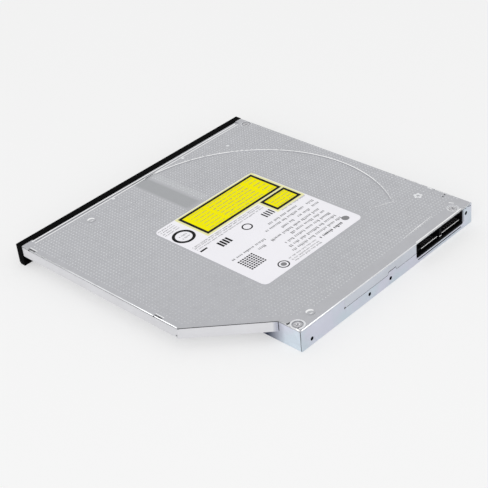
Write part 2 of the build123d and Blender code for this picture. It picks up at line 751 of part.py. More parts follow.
# Pickup: a die-cast sled on the two rods
well_floor = 4.1
sled_top = chassis_top + 0.1
with BuildPart() as pickup_sled:
    block((disc_x - pickup_left, main_rod_x - pickup_clearance),
          (home_y - pickup_front, home_y + pickup_rear),
          (1.7, sled_top))
    outer_corners = pickup_sled.edges().filter_by(Axis.Z)
    chamfer(outer_corners, length=1.2)
    block((disc_x - 7.4, disc_x + 11.6), (home_y - pickup_front - 1, home_y + 3.4),
          (well_floor, sled_top + 1), Mode.SUBTRACT)
    block((disc_x - 15, disc_x - 10), (home_y, home_y + 7), (sled_top - 1.2, sled_top + 1), Mode.SUBTRACT)
    block((main_rod_x - 4.1, main_rod_x + 3.0), (home_y - 1, home_y + pickup_rear), (1.9, 4.7))
    rod(main_rod_x, rod_height, rod_radius + running_gap, (home_y - 2, home_y + pickup_rear + 1),
        Mode.SUBTRACT)
    block((side_rod_x - 2.4, disc_x - pickup_left + 0.1), (home_y + 1, home_y + 6), (2.0, 4.6))
    block((side_rod_x - 3, side_rod_x + 1.5), (home_y, home_y + 7),
          (rod_height - rod_radius - running_gap, rod_height + rod_radius + running_gap), Mode.SUBTRACT)
    with Locations((disc_x + 12.5, front_y + home_y + 6.2, sled_top)):
        CounterBoreHole(0.7, 1.4, 0.6, depth=1.6)
keep(pickup_sled.part, "pickup_sled")

with BuildPart() as feed_rack:
    block((main_rod_x + 3.0, screw_x + 2.4), (home_y + 1, home_y + 7), (2.3, 4.7))
    rod(screw_x, rod_height, lead_radius + 0.3, (home_y, home_y + 8), Mode.SUBTRACT)
    block((screw_x - lead_radius - 0.3, screw_x + lead_radius + 0.3), (home_y, home_y + 8), (2, rod_height),
          Mode.SUBTRACT)
keep(feed_rack.part, "feed_rack")

# Lens holder with two lenses, between the magnets of its actuator
second_lens_x = disc_x + 4.4
holder_span = (disc_x - 2.6, second_lens_x + 2.6)
lens_seat = 5.35
holder_top = 5.85
with BuildPart() as lens_holder:
    block(holder_span, (home_y - holder_half, home_y + holder_half), (well_floor + 0.5, holder_top))
    chamfer(lens_holder.edges().filter_by(Axis.Z), length=0.6)
    for lens_x in (disc_x, second_lens_x):
        post(lens_x, home_y, lens_radius + 0.02, (lens_seat, case_height), Mode.SUBTRACT)
        post(lens_x, home_y, lens_radius - 0.4, (well_floor, case_height), Mode.SUBTRACT)
keep(lens_holder.part, "lens_holder")

with BuildPart() as objective_lenses:
    for lens_x in (disc_x, second_lens_x):
        post(lens_x, home_y, lens_radius, (lens_seat, holder_top + 0.35))
    crown = objective_lenses.edges().group_by(Axis.Z)[-1]
    chamfer(crown, length=0.35, length2=0.7)
keep(objective_lenses.part, "objective_lenses")

with BuildPart() as actuator_magnets:
    block((holder_span[0] - 2.2, holder_span[0] - 0.6), (home_y - holder_half, home_y + holder_half),
          (well_floor, 5.6))
    block((holder_span[1] + 0.6, holder_span[1] + 2.2), (home_y - holder_half, home_y + holder_half),
          (well_floor, 5.6))
keep(actuator_magnets.part, "actuator_magnets")

# Feed motor, its bracket and the lead screw
bracket_x = screw_x + motor_width / 2 + 0.1
bracket_sheet = 0.4
bracket_front = chassis_front + 1.5
ear_rear = (motor_front - bracket_sheet - 0.05, motor_front - 0.05)
with BuildPart() as feed_motor:
    with BuildSketch(upright(motor_rear)):
        with Locations((screw_x, rod_height)):
            RectangleRounded(motor_width, motor_height, motor_height * 0.4)
    extrude(amount=motor_length)
    rod(screw_x, rod_height, 0.65, (motor_front - 1, motor_rear - 1.2), Mode.SUBTRACT)
keep(feed_motor.part, "feed_motor")

with BuildPart() as feed_bracket:
    block((bracket_x, bracket_x + bracket_sheet), (bracket_front, motor_rear), (1.7, chassis_z))
    block((bracket_x, bracket_x + 3.4), (chassis_front + 16.0, motor_rear),
          (chassis_z - bracket_sheet, chassis_z))
    block((screw_x - 1.6, bracket_x + 0.1), (bracket_front, bracket_front + bracket_sheet),
          (1.9, chassis_z))
    block((screw_x - motor_width / 2, bracket_x + 0.1), ear_rear, (1.7, chassis_z))
    rod(screw_x, rod_height, 0.55, (bracket_front - 1, bracket_front + 1), Mode.SUBTRACT)
    rod(screw_x, rod_height, 0.75, (ear_rear[0] - 0.5, ear_rear[1] + 0.5), Mode.SUBTRACT)
keep(feed_bracket.part, "feed_bracket")

with BuildPart() as lead_screw:
    rod(screw_x, rod_height, lead_radius, (bracket_front + 0.7, ear_rear[0] - 0.3))
    rod(screw_x, rod_height, 0.5, (bracket_front - 0.1, bracket_front + 0.8))
    rod(screw_x, rod_height, 0.6, (ear_rear[0] - 0.4, motor_rear - 1.5))
keep(lead_screw.part, "lead_screw")

# Disc motor: base plate with bearing, wound core, then the rotor with the disc's seat and hub
bearing_radius = 2.4
base_flange_depth = 16.0
with BuildPart() as motor_base:
    with BuildSketch(level(base_z)):
        with Locations((disc_x, disc_y)):
            Circle(rotor_radius + 0.3)
        with Locations((disc_x, disc_y + boss_reach - 5.5)):
            RectangleRounded(2 * boss_reach + 4.0, base_flange_depth, 3)
    extrude(amount=base_top - base_z)
    for place in base_boss_places:
        post(*place, 0.6, (base_z - 1, base_top + 1), Mode.SUBTRACT)
    post(disc_x, disc_y, bearing_radius, (base_z, chassis_top - 0.2))
    post(disc_x, disc_y, shaft_radius + running_gap, (base_z + 0.2, chassis_top), Mode.SUBTRACT)
keep(motor_base.part, "motor_base")

teeth = 9
core_z = 3.2
core_thickness = 0.9
coil_rise = 0.3
coil_length = 5.0
coil_width = 3.2
tooth_width = 1.6
tooth_tip = rotor_radius - 1.4
with BuildPart() as stator_core:
    with BuildSketch(level(core_z)):
        with Locations((disc_x, disc_y)):
            Circle(tooth_tip)
            Circle(tooth_tip - 1.0, mode=Mode.SUBTRACT)
            with PolarLocations(tooth_tip, teeth, start_angle=180 / teeth):
                Rectangle(4, 1.4, mode=Mode.SUBTRACT)
            with PolarLocations(0, teeth):
                Rectangle(tooth_tip - 0.5, tooth_width, align=(Align.MIN, Align.CENTER))
            Circle(tooth_tip - 7.0)
            Circle(bearing_radius + 0.02, mode=Mode.SUBTRACT)
    extrude(amount=core_thickness)
keep(stator_core.part, "stator_core")

with BuildPart() as stator_coils:
    with BuildSketch(level(core_z - coil_rise)):
        with Locations((disc_x, disc_y)):
            with PolarLocations(tooth_tip - 4.0, teeth):
                Rectangle(coil_length, coil_width)
    extrude(amount=core_thickness + 2 * coil_rise)
    with BuildSketch(level(core_z)):
        with Locations((disc_x, disc_y)):
            with PolarLocations(0, teeth):
                Rectangle(tooth_tip, tooth_width, align=(Align.MIN, Align.CENTER))
    extrude(amount=core_thickness, mode=Mode.SUBTRACT)
keep(stator_coils.part, "stator_coils")

claw_count = 3
claw_width = 2.6
claw_floor = disc_z + 0.35
claw_height = 0.8
pad_height = 0.3
pad_width = 3.0
rotor_wall = 0.4
magnet_wall = 0.5
hub_top = disc_z + hub_height
with BuildPart() as turntable:
    post(disc_x, disc_y, rotor_radius, (2.8, disc_z - pad_height))
    post(disc_x, disc_y, rotor_radius - rotor_wall, (2, 5.4), Mode.SUBTRACT)
    post(disc_x, disc_y, hub_radius, (disc_z - pad_height - 0.1, hub_top))
    chamfer(turntable.edges().group_by(Axis.Z)[-1], length=0.7)
    post(disc_x, disc_y, shaft_radius, (base_z + 0.3, 5.5))
    with Locations((disc_x, front_y + disc_y, claw_floor + claw_height / 2)):
        with PolarLocations(0, claw_count):
            Box(hub_radius + 1, claw_width + 0.2, claw_height + 0.1,
                align=(Align.MIN, Align.CENTER, Align.CENTER),
                mode=Mode.SUBTRACT)
    post(disc_x, disc_y, 4.2, (claw_floor - 0.3, claw_floor + claw_height + 0.3))
keep(turntable.part, "turntable")

with BuildPart() as turntable_pad:
    post(disc_x, disc_y, rotor_radius - 0.2, (disc_z - pad_height, disc_z))
    post(disc_x, disc_y, rotor_radius - 0.2 - pad_width, (disc_z - pad_height - 1, disc_z + 1), Mode.SUBTRACT)
keep(turntable_pad.part, "turntable_pad")

with BuildPart() as rotor_magnet:
    post(disc_x, disc_y, rotor_radius - rotor_wall, (2.9, 5.2))
    post(disc_x, disc_y, rotor_radius - rotor_wall - magnet_wall, (2, 6), Mode.SUBTRACT)
keep(rotor_magnet.part, "rotor_magnet")

# Spring-loaded claws that grip the disc's centre hole
claw_out = hub_radius + 0.35
claw_in = 5.0
for number in range(claw_count):
    with BuildPart() as hub_claw:
        with BuildSketch(level(claw_floor + 0.05)):
            with Locations((disc_x, disc_y)):
                with PolarLocations(0, 1, start_angle=360 * number / claw_count):
                    Rectangle(claw_out, claw_width, align=(Align.MIN, Align.CENTER))
                Circle(claw_in, mode=Mode.SUBTRACT)
        extrude(amount=claw_height - 0.1)
    keep(hub_claw.part, f"hub_claw_{number + 1}")

# Thin shield over the mechanism, with openings for the lenses and the rotor
shield_z = web_z + 0.1
shield_edge = 0.4
shield_feet = [
    (hatch_left + 3, motor_rear + 3), (hatch_right - 3.2, motor_rear + 3),
    (hatch_left + 3, hatch_rear - 5), (disc_x + 16, hatch_rear - 3),
]
with BuildPart() as mechanism_shield:
    with BuildSketch(level(shield_z)):
        with Locations(((hatch_left + hatch_right) / 2, (hatch_front + hatch_rear) / 2)):
            RectangleRounded(hatch_right - hatch_left - 2 * shield_edge,
                             hatch_rear - hatch_front - 2 * shield_edge, 2.6)
        with Locations((disc_x, disc_y)):
            Circle(rotor_radius + 0.6, mode=Mode.SUBTRACT)
        with Locations(((holder_span[0] + holder_span[1]) / 2, hatch_front)):
            Rectangle(holder_span[1] - holder_span[0] + 6.4, disc_y - hatch_front,
                      align=(Align.CENTER, Align.MIN), mode=Mode.SUBTRACT)
    extrude(amount=shield_sheet)
    for place in shield_feet:
        post(*place, 1.1, (chassis_top, shield_z + 0.1))
keep(mechanism_shield.part, "mechanism_shield")

# Latch: a lever on a pin that hooks behind the case's post, and the solenoid that turns it
hook_y = post_y + post_radius + 0.9
lever_z = 2.5
arm_y = (latch_y - 0.9, latch_y + 0.9)
with BuildPart() as latch_lever:
    post(latch_x, latch_y, 2.0, (lever_z, lever_z + latch_sheet))
    block((latch_x - 1.0, latch_x + 2.6), (latch_y, latch_y + 4), (lever_z, lever_z + latch_sheet))
    block((latch_x + 1.0, latch_x + 2.6), (latch_y + 1, hook_y + 1.3), (lever_z, lever_z + latch_sheet))
    block((post_x + post_radius + 0.4, latch_x + 2.6), (hook_y, hook_y + 1.3),
          (lever_z, lever_z + latch_sheet))
    block((latch_x, latch_x + 6.0), arm_y, (lever_z, lever_z + latch_sheet))
    post(latch_x, latch_y, 0.8 + running_gap, (lever_z - 1, lever_z + 2), Mode.SUBTRACT)
keep(latch_lever.part, "latch_lever")

# The post of the case that the lever's hook holds
with BuildPart() as latch_post:
    post(post_x, post_y, post_radius, (sheet, 4.4))
    chamfer(latch_post.edges().group_by(Axis.Z)[-1], length=0.3)
keep(latch_post.part, "latch_post")

with BuildPart() as latch_pin:
    post(latch_x, latch_y, 0.8, (plate_top, web_z))
    post(latch_x, latch_y, 1.5, (lever_z - 0.6, lever_z - 0.1))
    post(latch_x, latch_y, 1.5, (lever_z + latch_sheet + 0.1, lever_z + latch_sheet + 0.5))
keep(latch_pin.part, "latch_pin")

with BuildPart() as latch_solenoid:
    block((solenoid_x - solenoid_width / 2, solenoid_x + solenoid_width / 2),
          (solenoid_front, solenoid_rear), (plate_top, 4.9))
    block((solenoid_x - solenoid_width / 2 + 0.9, solenoid_x + solenoid_width / 2 - 0.9),
          (solenoid_front + 0.7, solenoid_rear - 0.7), (4.3, 5.5), Mode.SUBTRACT)
    rod(solenoid_x, lever_z + latch_sheet / 2, plunger_radius + running_gap,
        (solenoid_front + 1, solenoid_rear + 1), Mode.SUBTRACT)
keep(latch_solenoid.part, "latch_solenoid")

with BuildPart() as solenoid_plunger:
    rod(solenoid_x, lever_z + latch_sheet / 2, plunger_radius, (solenoid_front + 1.5, arm_y[0] - 0.5))
    rod(solenoid_x, lever_z + latch_sheet / 2, plunger_radius + 0.3, (arm_y[0] - 1.2, arm_y[0] - 0.5))
keep(solenoid_plunger.part, "solenoid_plunger")

# Front bezel: a moulded shell with the button's opening, lamp window, release hole and hooks
bezel_face = tray_front - bezel_depth
bezel_inside = bezel_face + bezel_wall
with BuildPart() as front_bezel:
    block((-bezel_width / 2, bezel_width / 2), (bezel_face, tray_front), (0, bezel_height))
    front_edges = front_bezel.faces().sort_by(Axis.Y)[0].edges()
    chamfer(front_edges.sort_by(Axis.Z)[0], length=1.4, length2=0.9)
    soft_edges = front_bezel.faces().sort_by(Axis.Y)[0].edges()
    chamfer(soft_edges, length=0.3)
    for low, high in ((-bezel_width / 2 + 1.2, -34), (-32.8, -1), (0.2, button_x - 8.2),
                      (button_x + 8.2, bezel_width / 2 - 1.2)):
        block((low, high), (bezel_inside, tray_front + 1), (1.1, bezel_height - 1.1), Mode.SUBTRACT)
    block((button_x - 7.4, button_x + 7.4), (bezel_inside, tray_front + 1), (1.1, bezel_height - 1.1),
          Mode.SUBTRACT)
    with BuildSketch(upright(bezel_inside + 1)):
        with Locations((button_x, button_z)):
            RectangleRounded(button_width + 2 * button_gap, button_height + 2 * button_gap,
                             0.7 + button_gap)
    extrude(amount=bezel_depth, mode=Mode.SUBTRACT)
    for boss_x in (lamp_x, pin_hole_x):
        rod(boss_x, button_z, 1.5, (bezel_inside - 0.1, tray_front))
    rod(lamp_x, button_z, 0.7, (bezel_face - 1, tray_front + 1), Mode.SUBTRACT)
    rod(pin_hole_x, button_z, pin_hole_radius, (bezel_face - 1, tray_front + 1), Mode.SUBTRACT)
    for hook_x in hook_places:
        block((hook_x - 2, hook_x + 2), (bezel_inside - 0.1, tray_front + tray_wall + 1.0), (2.5, 3.2))
        block((hook_x - 2, hook_x + 2), (tray_front + tray_wall + 0.1, tray_front + tray_wall + 1.0),
              (3.1, 3.7))
keep(front_bezel.part, "front_bezel")

with BuildPart() as eject_button:
    with BuildSketch(upright(bezel_inside + 0.6)):
        with Locations((button_x, button_z)):
            RectangleRounded(button_width, button_height, 0.7)
    extrude(amount=bezel_wall + 0.6)
    face_edges = eject_button.faces().sort_by(Axis.Y)[0].edges()
    chamfer(face_edges, length=0.3)
    block((button_x - button_width / 2 - 0.8, button_x + button_width / 2 + 0.8),
          (bezel_inside + 0.1, bezel_inside + 0.7),
          (button_z - button_height / 2 - 0.4, button_z + button_height / 2 + 0.4))
    block((button_x - stem_width / 2, button_x + stem_width / 2),
          (bezel_inside + 0.5, switch_front - button_travel - 0.1),
          (button_z - stem_height / 2, button_z + stem_height / 2))
keep(eject_button.part, "eject_button")

with BuildPart() as lamp_window:
    rod(lamp_x, button_z, 0.68, (bezel_face, tray_front + 0.6))
keep(lamp_window.part, "lamp_window")

# Small board in the tray's front corner, with the eject switch and the lamp
tray_board_z = web_z + 0.2
tray_board_top = tray_board_z + 0.6
with BuildPart() as tray_board:
    block((lamp_x - 2.3, button_x + 14), (front_wall_rear + 0.2, front_wall_rear + 7.2),
          (tray_board_z, tray_board_top))
    for hole_x in (lamp_x + 2.6, button_x + 11.5):
        post(hole_x, front_wall_rear + 5, 0.6, (tray_board_z - 1, tray_board_top + 1), Mode.SUBTRACT)
keep(tray_board.part, "tray_board")

with BuildPart() as eject_switch:
    block((button_x - 2.3, button_x + 2.3), (switch_front + 0.6, switch_front + 3.4),
          (tray_board_top, tray_board_top + 1.2))
    block((button_x - 0.8, button_x + 0.8), (switch_front, switch_front + 0.7),
          (tray_board_top + 0.1, tray_board_top + 1.0))
keep(eject_switch.part, "eject_switch")

with BuildPart() as lamp:
    block((lamp_x - 0.8, lamp_x + 0.8), (front_wall_rear + 0.3, front_wall_rear + 1.4),
          (tray_board_top, tray_board_top + 0.7))
keep(lamp.part, "lamp")

with BuildPart() as tray_board_screws:
    for hole_x in (lamp_x + 2.6, button_x + 11.5):
        post(hole_x, front_wall_rear + 5, 1.1, (tray_board_z - 0.4, tray_board_z))
        post(hole_x, front_wall_rear + 5, 0.55, (tray_board_z - 0.1, skin_z))
keep(tray_board_screws.part, "tray_board_screws")

# Main circuit board with its chips, flex connector and screws
with BuildPart() as main_board:
    block((board_left, board_right), (board_front, board_rear), (board_z, board_top))
    block((board_left - 1, board_left + 5), (board_front + 8, board_front + 14),
          (board_z - 1, board_top + 1), Mode.SUBTRACT)
    chamfer(main_board.edges().filter_by(Axis.Z).sort_by(Axis.X)[-2:], length=2)
    for place in board_screw_places:
        post(*place, board_screw_radius + 0.2, (board_z - 1, board_top + 1), Mode.SUBTRACT)
keep(main_board.part, "main_board")

with BuildPart() as board_screws:
    for place in board_screw_places:
        post(*place, 1.5, (board_top, board_top + 0.4))
        post(*place, board_screw_radius, (sheet, board_top + 0.1))
keep(board_screws.part, "board_screws")

with BuildPart() as controller_chip:
    chip_right = board_right - 1.5
    chip_front = board_front + 5.5
    block((chip_right - controller_size, chip_right), (chip_front, chip_front + controller_size),
          (board_top, board_top + chip_height))
    chamfer(controller_chip.edges().filter_by(Axis.Z), length=0.6)
keep(controller_chip.part, "controller_chip")

driver_left = board_left + 7.0
small_chip_left = driver_left + driver_size + 4.0
with BuildPart() as driver_chips:
    block((driver_left, driver_left + driver_size), (driver_rear - driver_size, driver_rear),
          (board_top, board_top + chip_height))
    block((small_chip_left, small_chip_left + driver_size), (driver_rear - small_chip_size, driver_rear),
          (board_top, board_top + chip_height))
    chamfer(driver_chips.edges().filter_by(Axis.Z), length=0.3)
keep(driver_chips.part, "driver_chips")

with BuildPart() as board_capacitors:
    for number in range(capacitor_count):
        left = driver_left + capacitor_pitch * number
        block((left, left + capacitor_length), (socket_front - 0.4 - capacitor_width, socket_front - 0.4),
              (board_top, board_top + 0.8))
keep(board_capacitors.part, "board_capacitors")

flex_x = (driver_left + driver_size + 1.0, driver_left + driver_size + 1.0 + flex_width)
flex_seat = (board_front + 1.0, board_front + 1.0 + flex_connector_depth)
with BuildPart() as flex_connector:
    block(flex_x, flex_seat, (board_top, board_top + 1.2))
    block((flex_x[0] + 1, flex_x[1] - 1), (board_front, flex_seat[1] - 1),
          (board_top + 0.3, board_top + 0.6), Mode.SUBTRACT)
keep(flex_connector.part, "flex_connector")

# Flat cable: from the connector down to the floor, forward under the tray, and folded back on itself
flex_thickness = 0.1
flex_plug = board_top + 0.4
flex_low = sheet + 0.06
flex_high = flex_low + flex_thickness + 0.12
flex_fold = disc_y - 19.0
flex_end = deep_tray_end - 12
with BuildPart() as main_flex:
    with BuildSketch(sideways(flex_x[0] + 1.2)):
        with BuildLine():
            Polyline(
                (flex_seat[1] - 1.2, flex_plug), (board_front - 1.2, flex_plug),
                (board_front - 2.4, flex_low), (flex_fold, flex_low),
                (flex_fold, flex_high + flex_thickness), (flex_end, flex_high + flex_thickness),
                (flex_end, flex_high), (flex_fold + flex_thickness, flex_high),
                (flex_fold + flex_thickness, flex_low + flex_thickness),
                (board_front - 2.5, flex_low + flex_thickness),
                (board_front - 1.3, flex_plug + flex_thickness),
                (flex_seat[1] - 1.2, flex_plug + flex_thickness), close=True,
            )
        make_face()
    extrude(amount=flex_x[1] - flex_x[0] - 2.4)
keep(main_flex.part, "main_flex")

# Connector in the rear face: a moulded housing with a signal and a power section, and its contacts
socket_rear = case_depth - 0.2
socket_low = board_top
socket_high = ceiling - 0.1
blade_z = socket_low + 2.0
section_gap = 1.4
signal_right = socket_left + 14.0
with BuildPart() as socket_housing:
    block((socket_left + seam, socket_right - seam * 2), (socket_front, socket_rear),
          (socket_low, socket_high))
    for low, high in ((socket_left + socket_wall, signal_right),
                      (signal_right + section_gap, socket_right - socket_wall)):
        block((low, high), (socket_front + 1.6, case_depth), (socket_low + 0.7, socket_high - 0.7),
              Mode.SUBTRACT)
        block((low + 0.7, high - 0.7), (socket_front + 1, socket_rear - 0.5),
              (blade_z, blade_z + tongue_blade))
    post(*socket_screw, screw_seat_radius + sheet + 0.1, (wall_top, case_height), Mode.SUBTRACT)
    post(*socket_screw, screw_radius + 0.02, (wall_top - 2, case_height), Mode.SUBTRACT)
keep(socket_housing.part, "socket_housing")

contact_pitch = 1.27
with BuildPart() as socket_contacts:
    for first, count in ((socket_left + 2.9, 7), (signal_right + section_gap + 3.4, 6)):
        for number in range(count):
            contact_x = first + number * contact_pitch
            block((contact_x - 0.3, contact_x + 0.3), (socket_front + 2.2, socket_rear - 0.9),
                  (blade_z + tongue_blade, blade_z + tongue_blade + 0.12))
keep(socket_contacts.part, "socket_contacts")

# Screws of the tray's bottom plate
with BuildPart() as plate_screws:
    for place in ((deep_left + 3.2, 4.0), (deep_left + 3.2, deep_tray_end - 3.5), (deep_right - 3.0, 40.0)):
        post(*place, 1.3, (plate_top - plate_sheet - 0.25, plate_top - plate_sheet))
keep(plate_screws.part, "plate_screws")
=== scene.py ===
"""Looks of a slim tray-load disc drive: a steel case with a sunken, dotted cover, a printed label and a mechanism."""

import math

import bpy
import numpy as np
from mathutils import Matrix, Vector
from mathutils.bvhtree import BVHTree


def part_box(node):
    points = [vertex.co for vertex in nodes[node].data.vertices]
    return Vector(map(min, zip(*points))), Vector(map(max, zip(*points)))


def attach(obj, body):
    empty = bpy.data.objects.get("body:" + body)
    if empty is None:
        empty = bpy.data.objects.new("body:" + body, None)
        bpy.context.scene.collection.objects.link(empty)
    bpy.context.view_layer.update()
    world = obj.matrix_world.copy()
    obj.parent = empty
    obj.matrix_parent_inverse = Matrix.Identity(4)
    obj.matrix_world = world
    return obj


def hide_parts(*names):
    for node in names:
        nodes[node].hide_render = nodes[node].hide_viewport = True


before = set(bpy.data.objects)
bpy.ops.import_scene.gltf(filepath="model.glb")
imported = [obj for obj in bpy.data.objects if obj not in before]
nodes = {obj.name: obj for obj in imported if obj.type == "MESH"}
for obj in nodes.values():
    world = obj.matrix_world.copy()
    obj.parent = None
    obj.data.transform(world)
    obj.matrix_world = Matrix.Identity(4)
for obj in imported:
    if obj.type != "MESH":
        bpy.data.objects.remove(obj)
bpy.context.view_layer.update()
rng = np.random.default_rng(12)

mm = 0.001

# Places taken from the frame
case_lo, case_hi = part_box("bottom_case")
cover_lo, cover_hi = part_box("top_cover")
label_lo, label_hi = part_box("rating_label")
rotor_lo, rotor_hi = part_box("turntable")
cover_top = cover_hi.z
front = case_lo.y
disc_axis = (rotor_lo.xy + rotor_hi.xy) / 2
jog_x = 39.3 * mm
corner_front = case_hi.y - 36.7 * mm
corner_rear = case_hi.y - 10.6 * mm
wing_z = 4.7 * mm
rear_skin = (case_hi.y - 0.12 * mm, case_hi.y - 0.05 * mm)
upward = np.array([0.0, 0.0, 1.0])
case_middle = Vector((*(case_lo.xy + case_hi.xy), cover_top)) / 2


class Finish:
    """One material in the making, or the world: its shader and the nodes that feed it."""

    def __init__(self, name, colour, roughness, metallic=0.0, **shader_values):
        self.material = bpy.data.materials.new(name)
        self.material.use_nodes = True
        self.tree = self.material.node_tree
        self.shader = self.tree.nodes["Principled BSDF"]
        self.colour = (*colour, 1.0)
        self.roughness = roughness
        self.shader.inputs["Base Color"].default_value = self.colour
        self.shader.inputs["Roughness"].default_value = roughness
        self.shader.inputs["Metallic"].default_value = metallic
        for label, value in shader_values.items():
            self.shader.inputs[label.replace("_", " ")].default_value = value

    @classmethod
    def of(cls, material):
        """Takes up a finished material or the world, to add to it."""
        finish = cls.__new__(cls)
        finish.material = material
        finish.tree = material.node_tree
        finish.shader = finish.tree.nodes.get("Principled BSDF")
        return finish

    def node(self, kind, settings=None, **inputs):
        """Adds a node; an input given as a socket is linked, any other is set."""
        made = self.tree.nodes.new("ShaderNode" + kind)
        for key, value in (settings or {}).items():
            setattr(made, key, value)
        for label, value in inputs.items():
            socket = made.inputs[int(label[1:])] if label[1:].isdigit() else made.inputs[label.replace("_", " ")]
            if isinstance(value, bpy.types.NodeSocket):
                self.tree.links.new(value, socket)
            else:
                socket.default_value = value
        return made

    def place(self, centre=(0.0, 0.0, 0.0), scale=(1.0, 1.0, 1.0), turn=0.0):
        """Object coordinates, counted from a centre, turned about Z and scaled."""
        coordinates = self.node("TexCoord").outputs["Object"]
        moved = self.node("Mapping", {"vector_type": "TEXTURE"}, Vector=coordinates,
                          Location=(*centre,), Rotation=(0.0, 0.0, turn))
        return self.node("Mapping", Vector=moved.outputs[0], Scale=scale).outputs[0]

    def noise(self, per_metre, detail=3.0, roughness=0.55, **placed_by):
        """Soft random blotches, about per_metre of them to the metre, on coordinates placed as place() is told."""
        place = self.place(**placed_by)
        return self.node("TexNoise", Vector=place, Scale=per_metre, Detail=detail, Roughness=roughness).outputs["Fac"]

    def spread(self, factor, low, high, start=0.3, end=0.7):
        """Carries a factor from the span start to end over to the span low to high."""
        made = self.node("MapRange", {"clamp": True}, Value=factor, From_Min=start, From_Max=end,
                         To_Min=low, To_Max=high)
        return made.outputs["Result"]

    def along(self, axis, start, end):
        """0 up to the place start along an axis of the object and 1 from the place end on, in metres."""
        place = self.node("SeparateXYZ", Vector=self.place()).outputs[axis]
        return self.spread(place, 0.0, 1.0, start, end)

    def maths(self, operation, first, second):
        """One sum, product or the like of two values."""
        return self.node("Math", {"operation": operation}, _0=first, _1=second).outputs[0]

    def product(self, first, *others):
        """The product of two or more values."""
        for other in others:
            first = self.maths("MULTIPLY", first, other)
        return first

    def weighted(self, first, *others):
        """The sum of two or more values, each given with its weight."""
        total = self.product(*first)
        for other in others:
            total = self.maths("ADD", total, self.product(*other))
        return total

    def outside(self, value):
        """1 less a value."""
        return self.maths("SUBTRACT", 1.0, value)

    def within(self, axis, start, end, edge):
        """1 between two places along an axis and 0 beyond them, over edges of a width inside them, in metres."""
        return self.product(self.along(axis, start, start + edge), self.outside(self.along(axis, end - edge, end)))

    def blend(self, factor, first, second, kind="MIX"):
        """A colour between two, each a colour or a socket, or the two combined in another way."""
        made = self.node("Mix", {"data_type": "RGBA", "blend_type": kind}, _0=factor, _6=first, _7=second)
        return made.outputs[2]

    def shade(self, factor, darker, lighter, colour=None):
        """A colour, the finish's own if none is given: times darker where factor is 0, times lighter where it is 1."""
        colour = colour or self.colour
        low = (*[c * darker for c in colour[:3]], 1.0)
        high = (*[min(c * lighter, 1.0) for c in colour[:3]], 1.0)
        return self.blend(factor, low, high)

    def feed(self, label, socket):
        """Links a socket to one of the shader's inputs."""
        self.tree.links.new(socket, self.shader.inputs[label])

    def tone(self, factor, darker, lighter, start=0.3, end=0.7):
        """Feeds the base colour: the finish's own times darker up to start, and times lighter from end on."""
        self.feed("Base Color", self.shade(self.spread(factor, 0.0, 1.0, start, end), darker, lighter))

    def gloss(self, factor, first, last, start=0.3, end=0.7):
        """Feeds the roughness: the finish's own plus first up to start, and plus last from end on."""
        self.feed("Roughness", self.spread(factor, self.roughness + first, self.roughness + last, start, end))

    def bump(self, height, depth):
        """Raises the surface by up to depth metres where height is 1."""
        normal = self.shader.inputs["Normal"]
        made = self.node("Bump", Height=height, Distance=depth, Strength=1.0)
        if normal.is_linked:
            self.tree.links.new(normal.links[0].from_socket, made.inputs["Normal"])
        self.tree.links.new(made.outputs[0], normal)


# Finishes
def mottled(name, colour, roughness, patches, tone=None, gloss=None, grain=None, depth=0.0,
            stretch=(1.0, 1.0, 1.0), **more):
    """A finish whose soft patches shift its tone and gloss, over a relief of a finer grain or of the patches: both
    are given as blotches to the metre, detail and roughness."""
    skin = Finish(name, colour, roughness, **more)
    uneven = skin.noise(*patches, scale=stretch)
    if tone:
        skin.tone(uneven, *tone)
    if gloss:
        skin.gloss(uneven, *gloss)
    if depth:
        skin.bump(skin.noise(*grain) if grain else uneven, depth * mm)
    return skin.material


def rolled_steel(name, colour, roughness, grain=(40.0, 900.0, 900.0), metallic=0.85):
    """Rolled or stamped sheet: long fine streaks along X or Y, a soft mottle, and small scratches."""
    steel = Finish(name, colour, roughness, metallic)
    streaks = steel.noise(1.0, detail=4.0, scale=grain)
    mottle = steel.noise(130.0, detail=2.0)
    steel.tone(steel.weighted((streaks, 0.6), (mottle, 0.4)), 0.94, 1.06, 0.35, 0.65)
    steel.gloss(mottle, -0.06, 0.08)
    steel.bump(streaks, 0.004 * mm)
    steel.bump(steel.noise(2600.0, detail=1.0), 0.006 * mm)
    return steel.material


def zinc_coated_steel(name, colour, roughness, metallic=0.75, spread=0.05):
    """Zinc-coated sheet: faint crystal patches of differing brightness under a fine grain."""
    zinc = Finish(name, colour, roughness, metallic)
    crystals = zinc.node("TexVoronoi", Vector=zinc.place(), Scale=420.0).outputs["Color"]
    patches = zinc.node("SeparateColor", Color=crystals).outputs[0]
    mottle = zinc.noise(45.0)
    streaks = zinc.noise(1.0, scale=(30.0, 700.0, 700.0))
    mixed = zinc.weighted((patches, 0.25), (mottle, 0.4), (streaks, 0.35))
    zinc.tone(mixed, 1 - spread, 1 + spread, 0.35, 0.65)
    zinc.gloss(mixed, -spread, spread)
    zinc.bump(zinc.noise(1900.0, detail=2.0), 0.006 * mm)
    return zinc.material


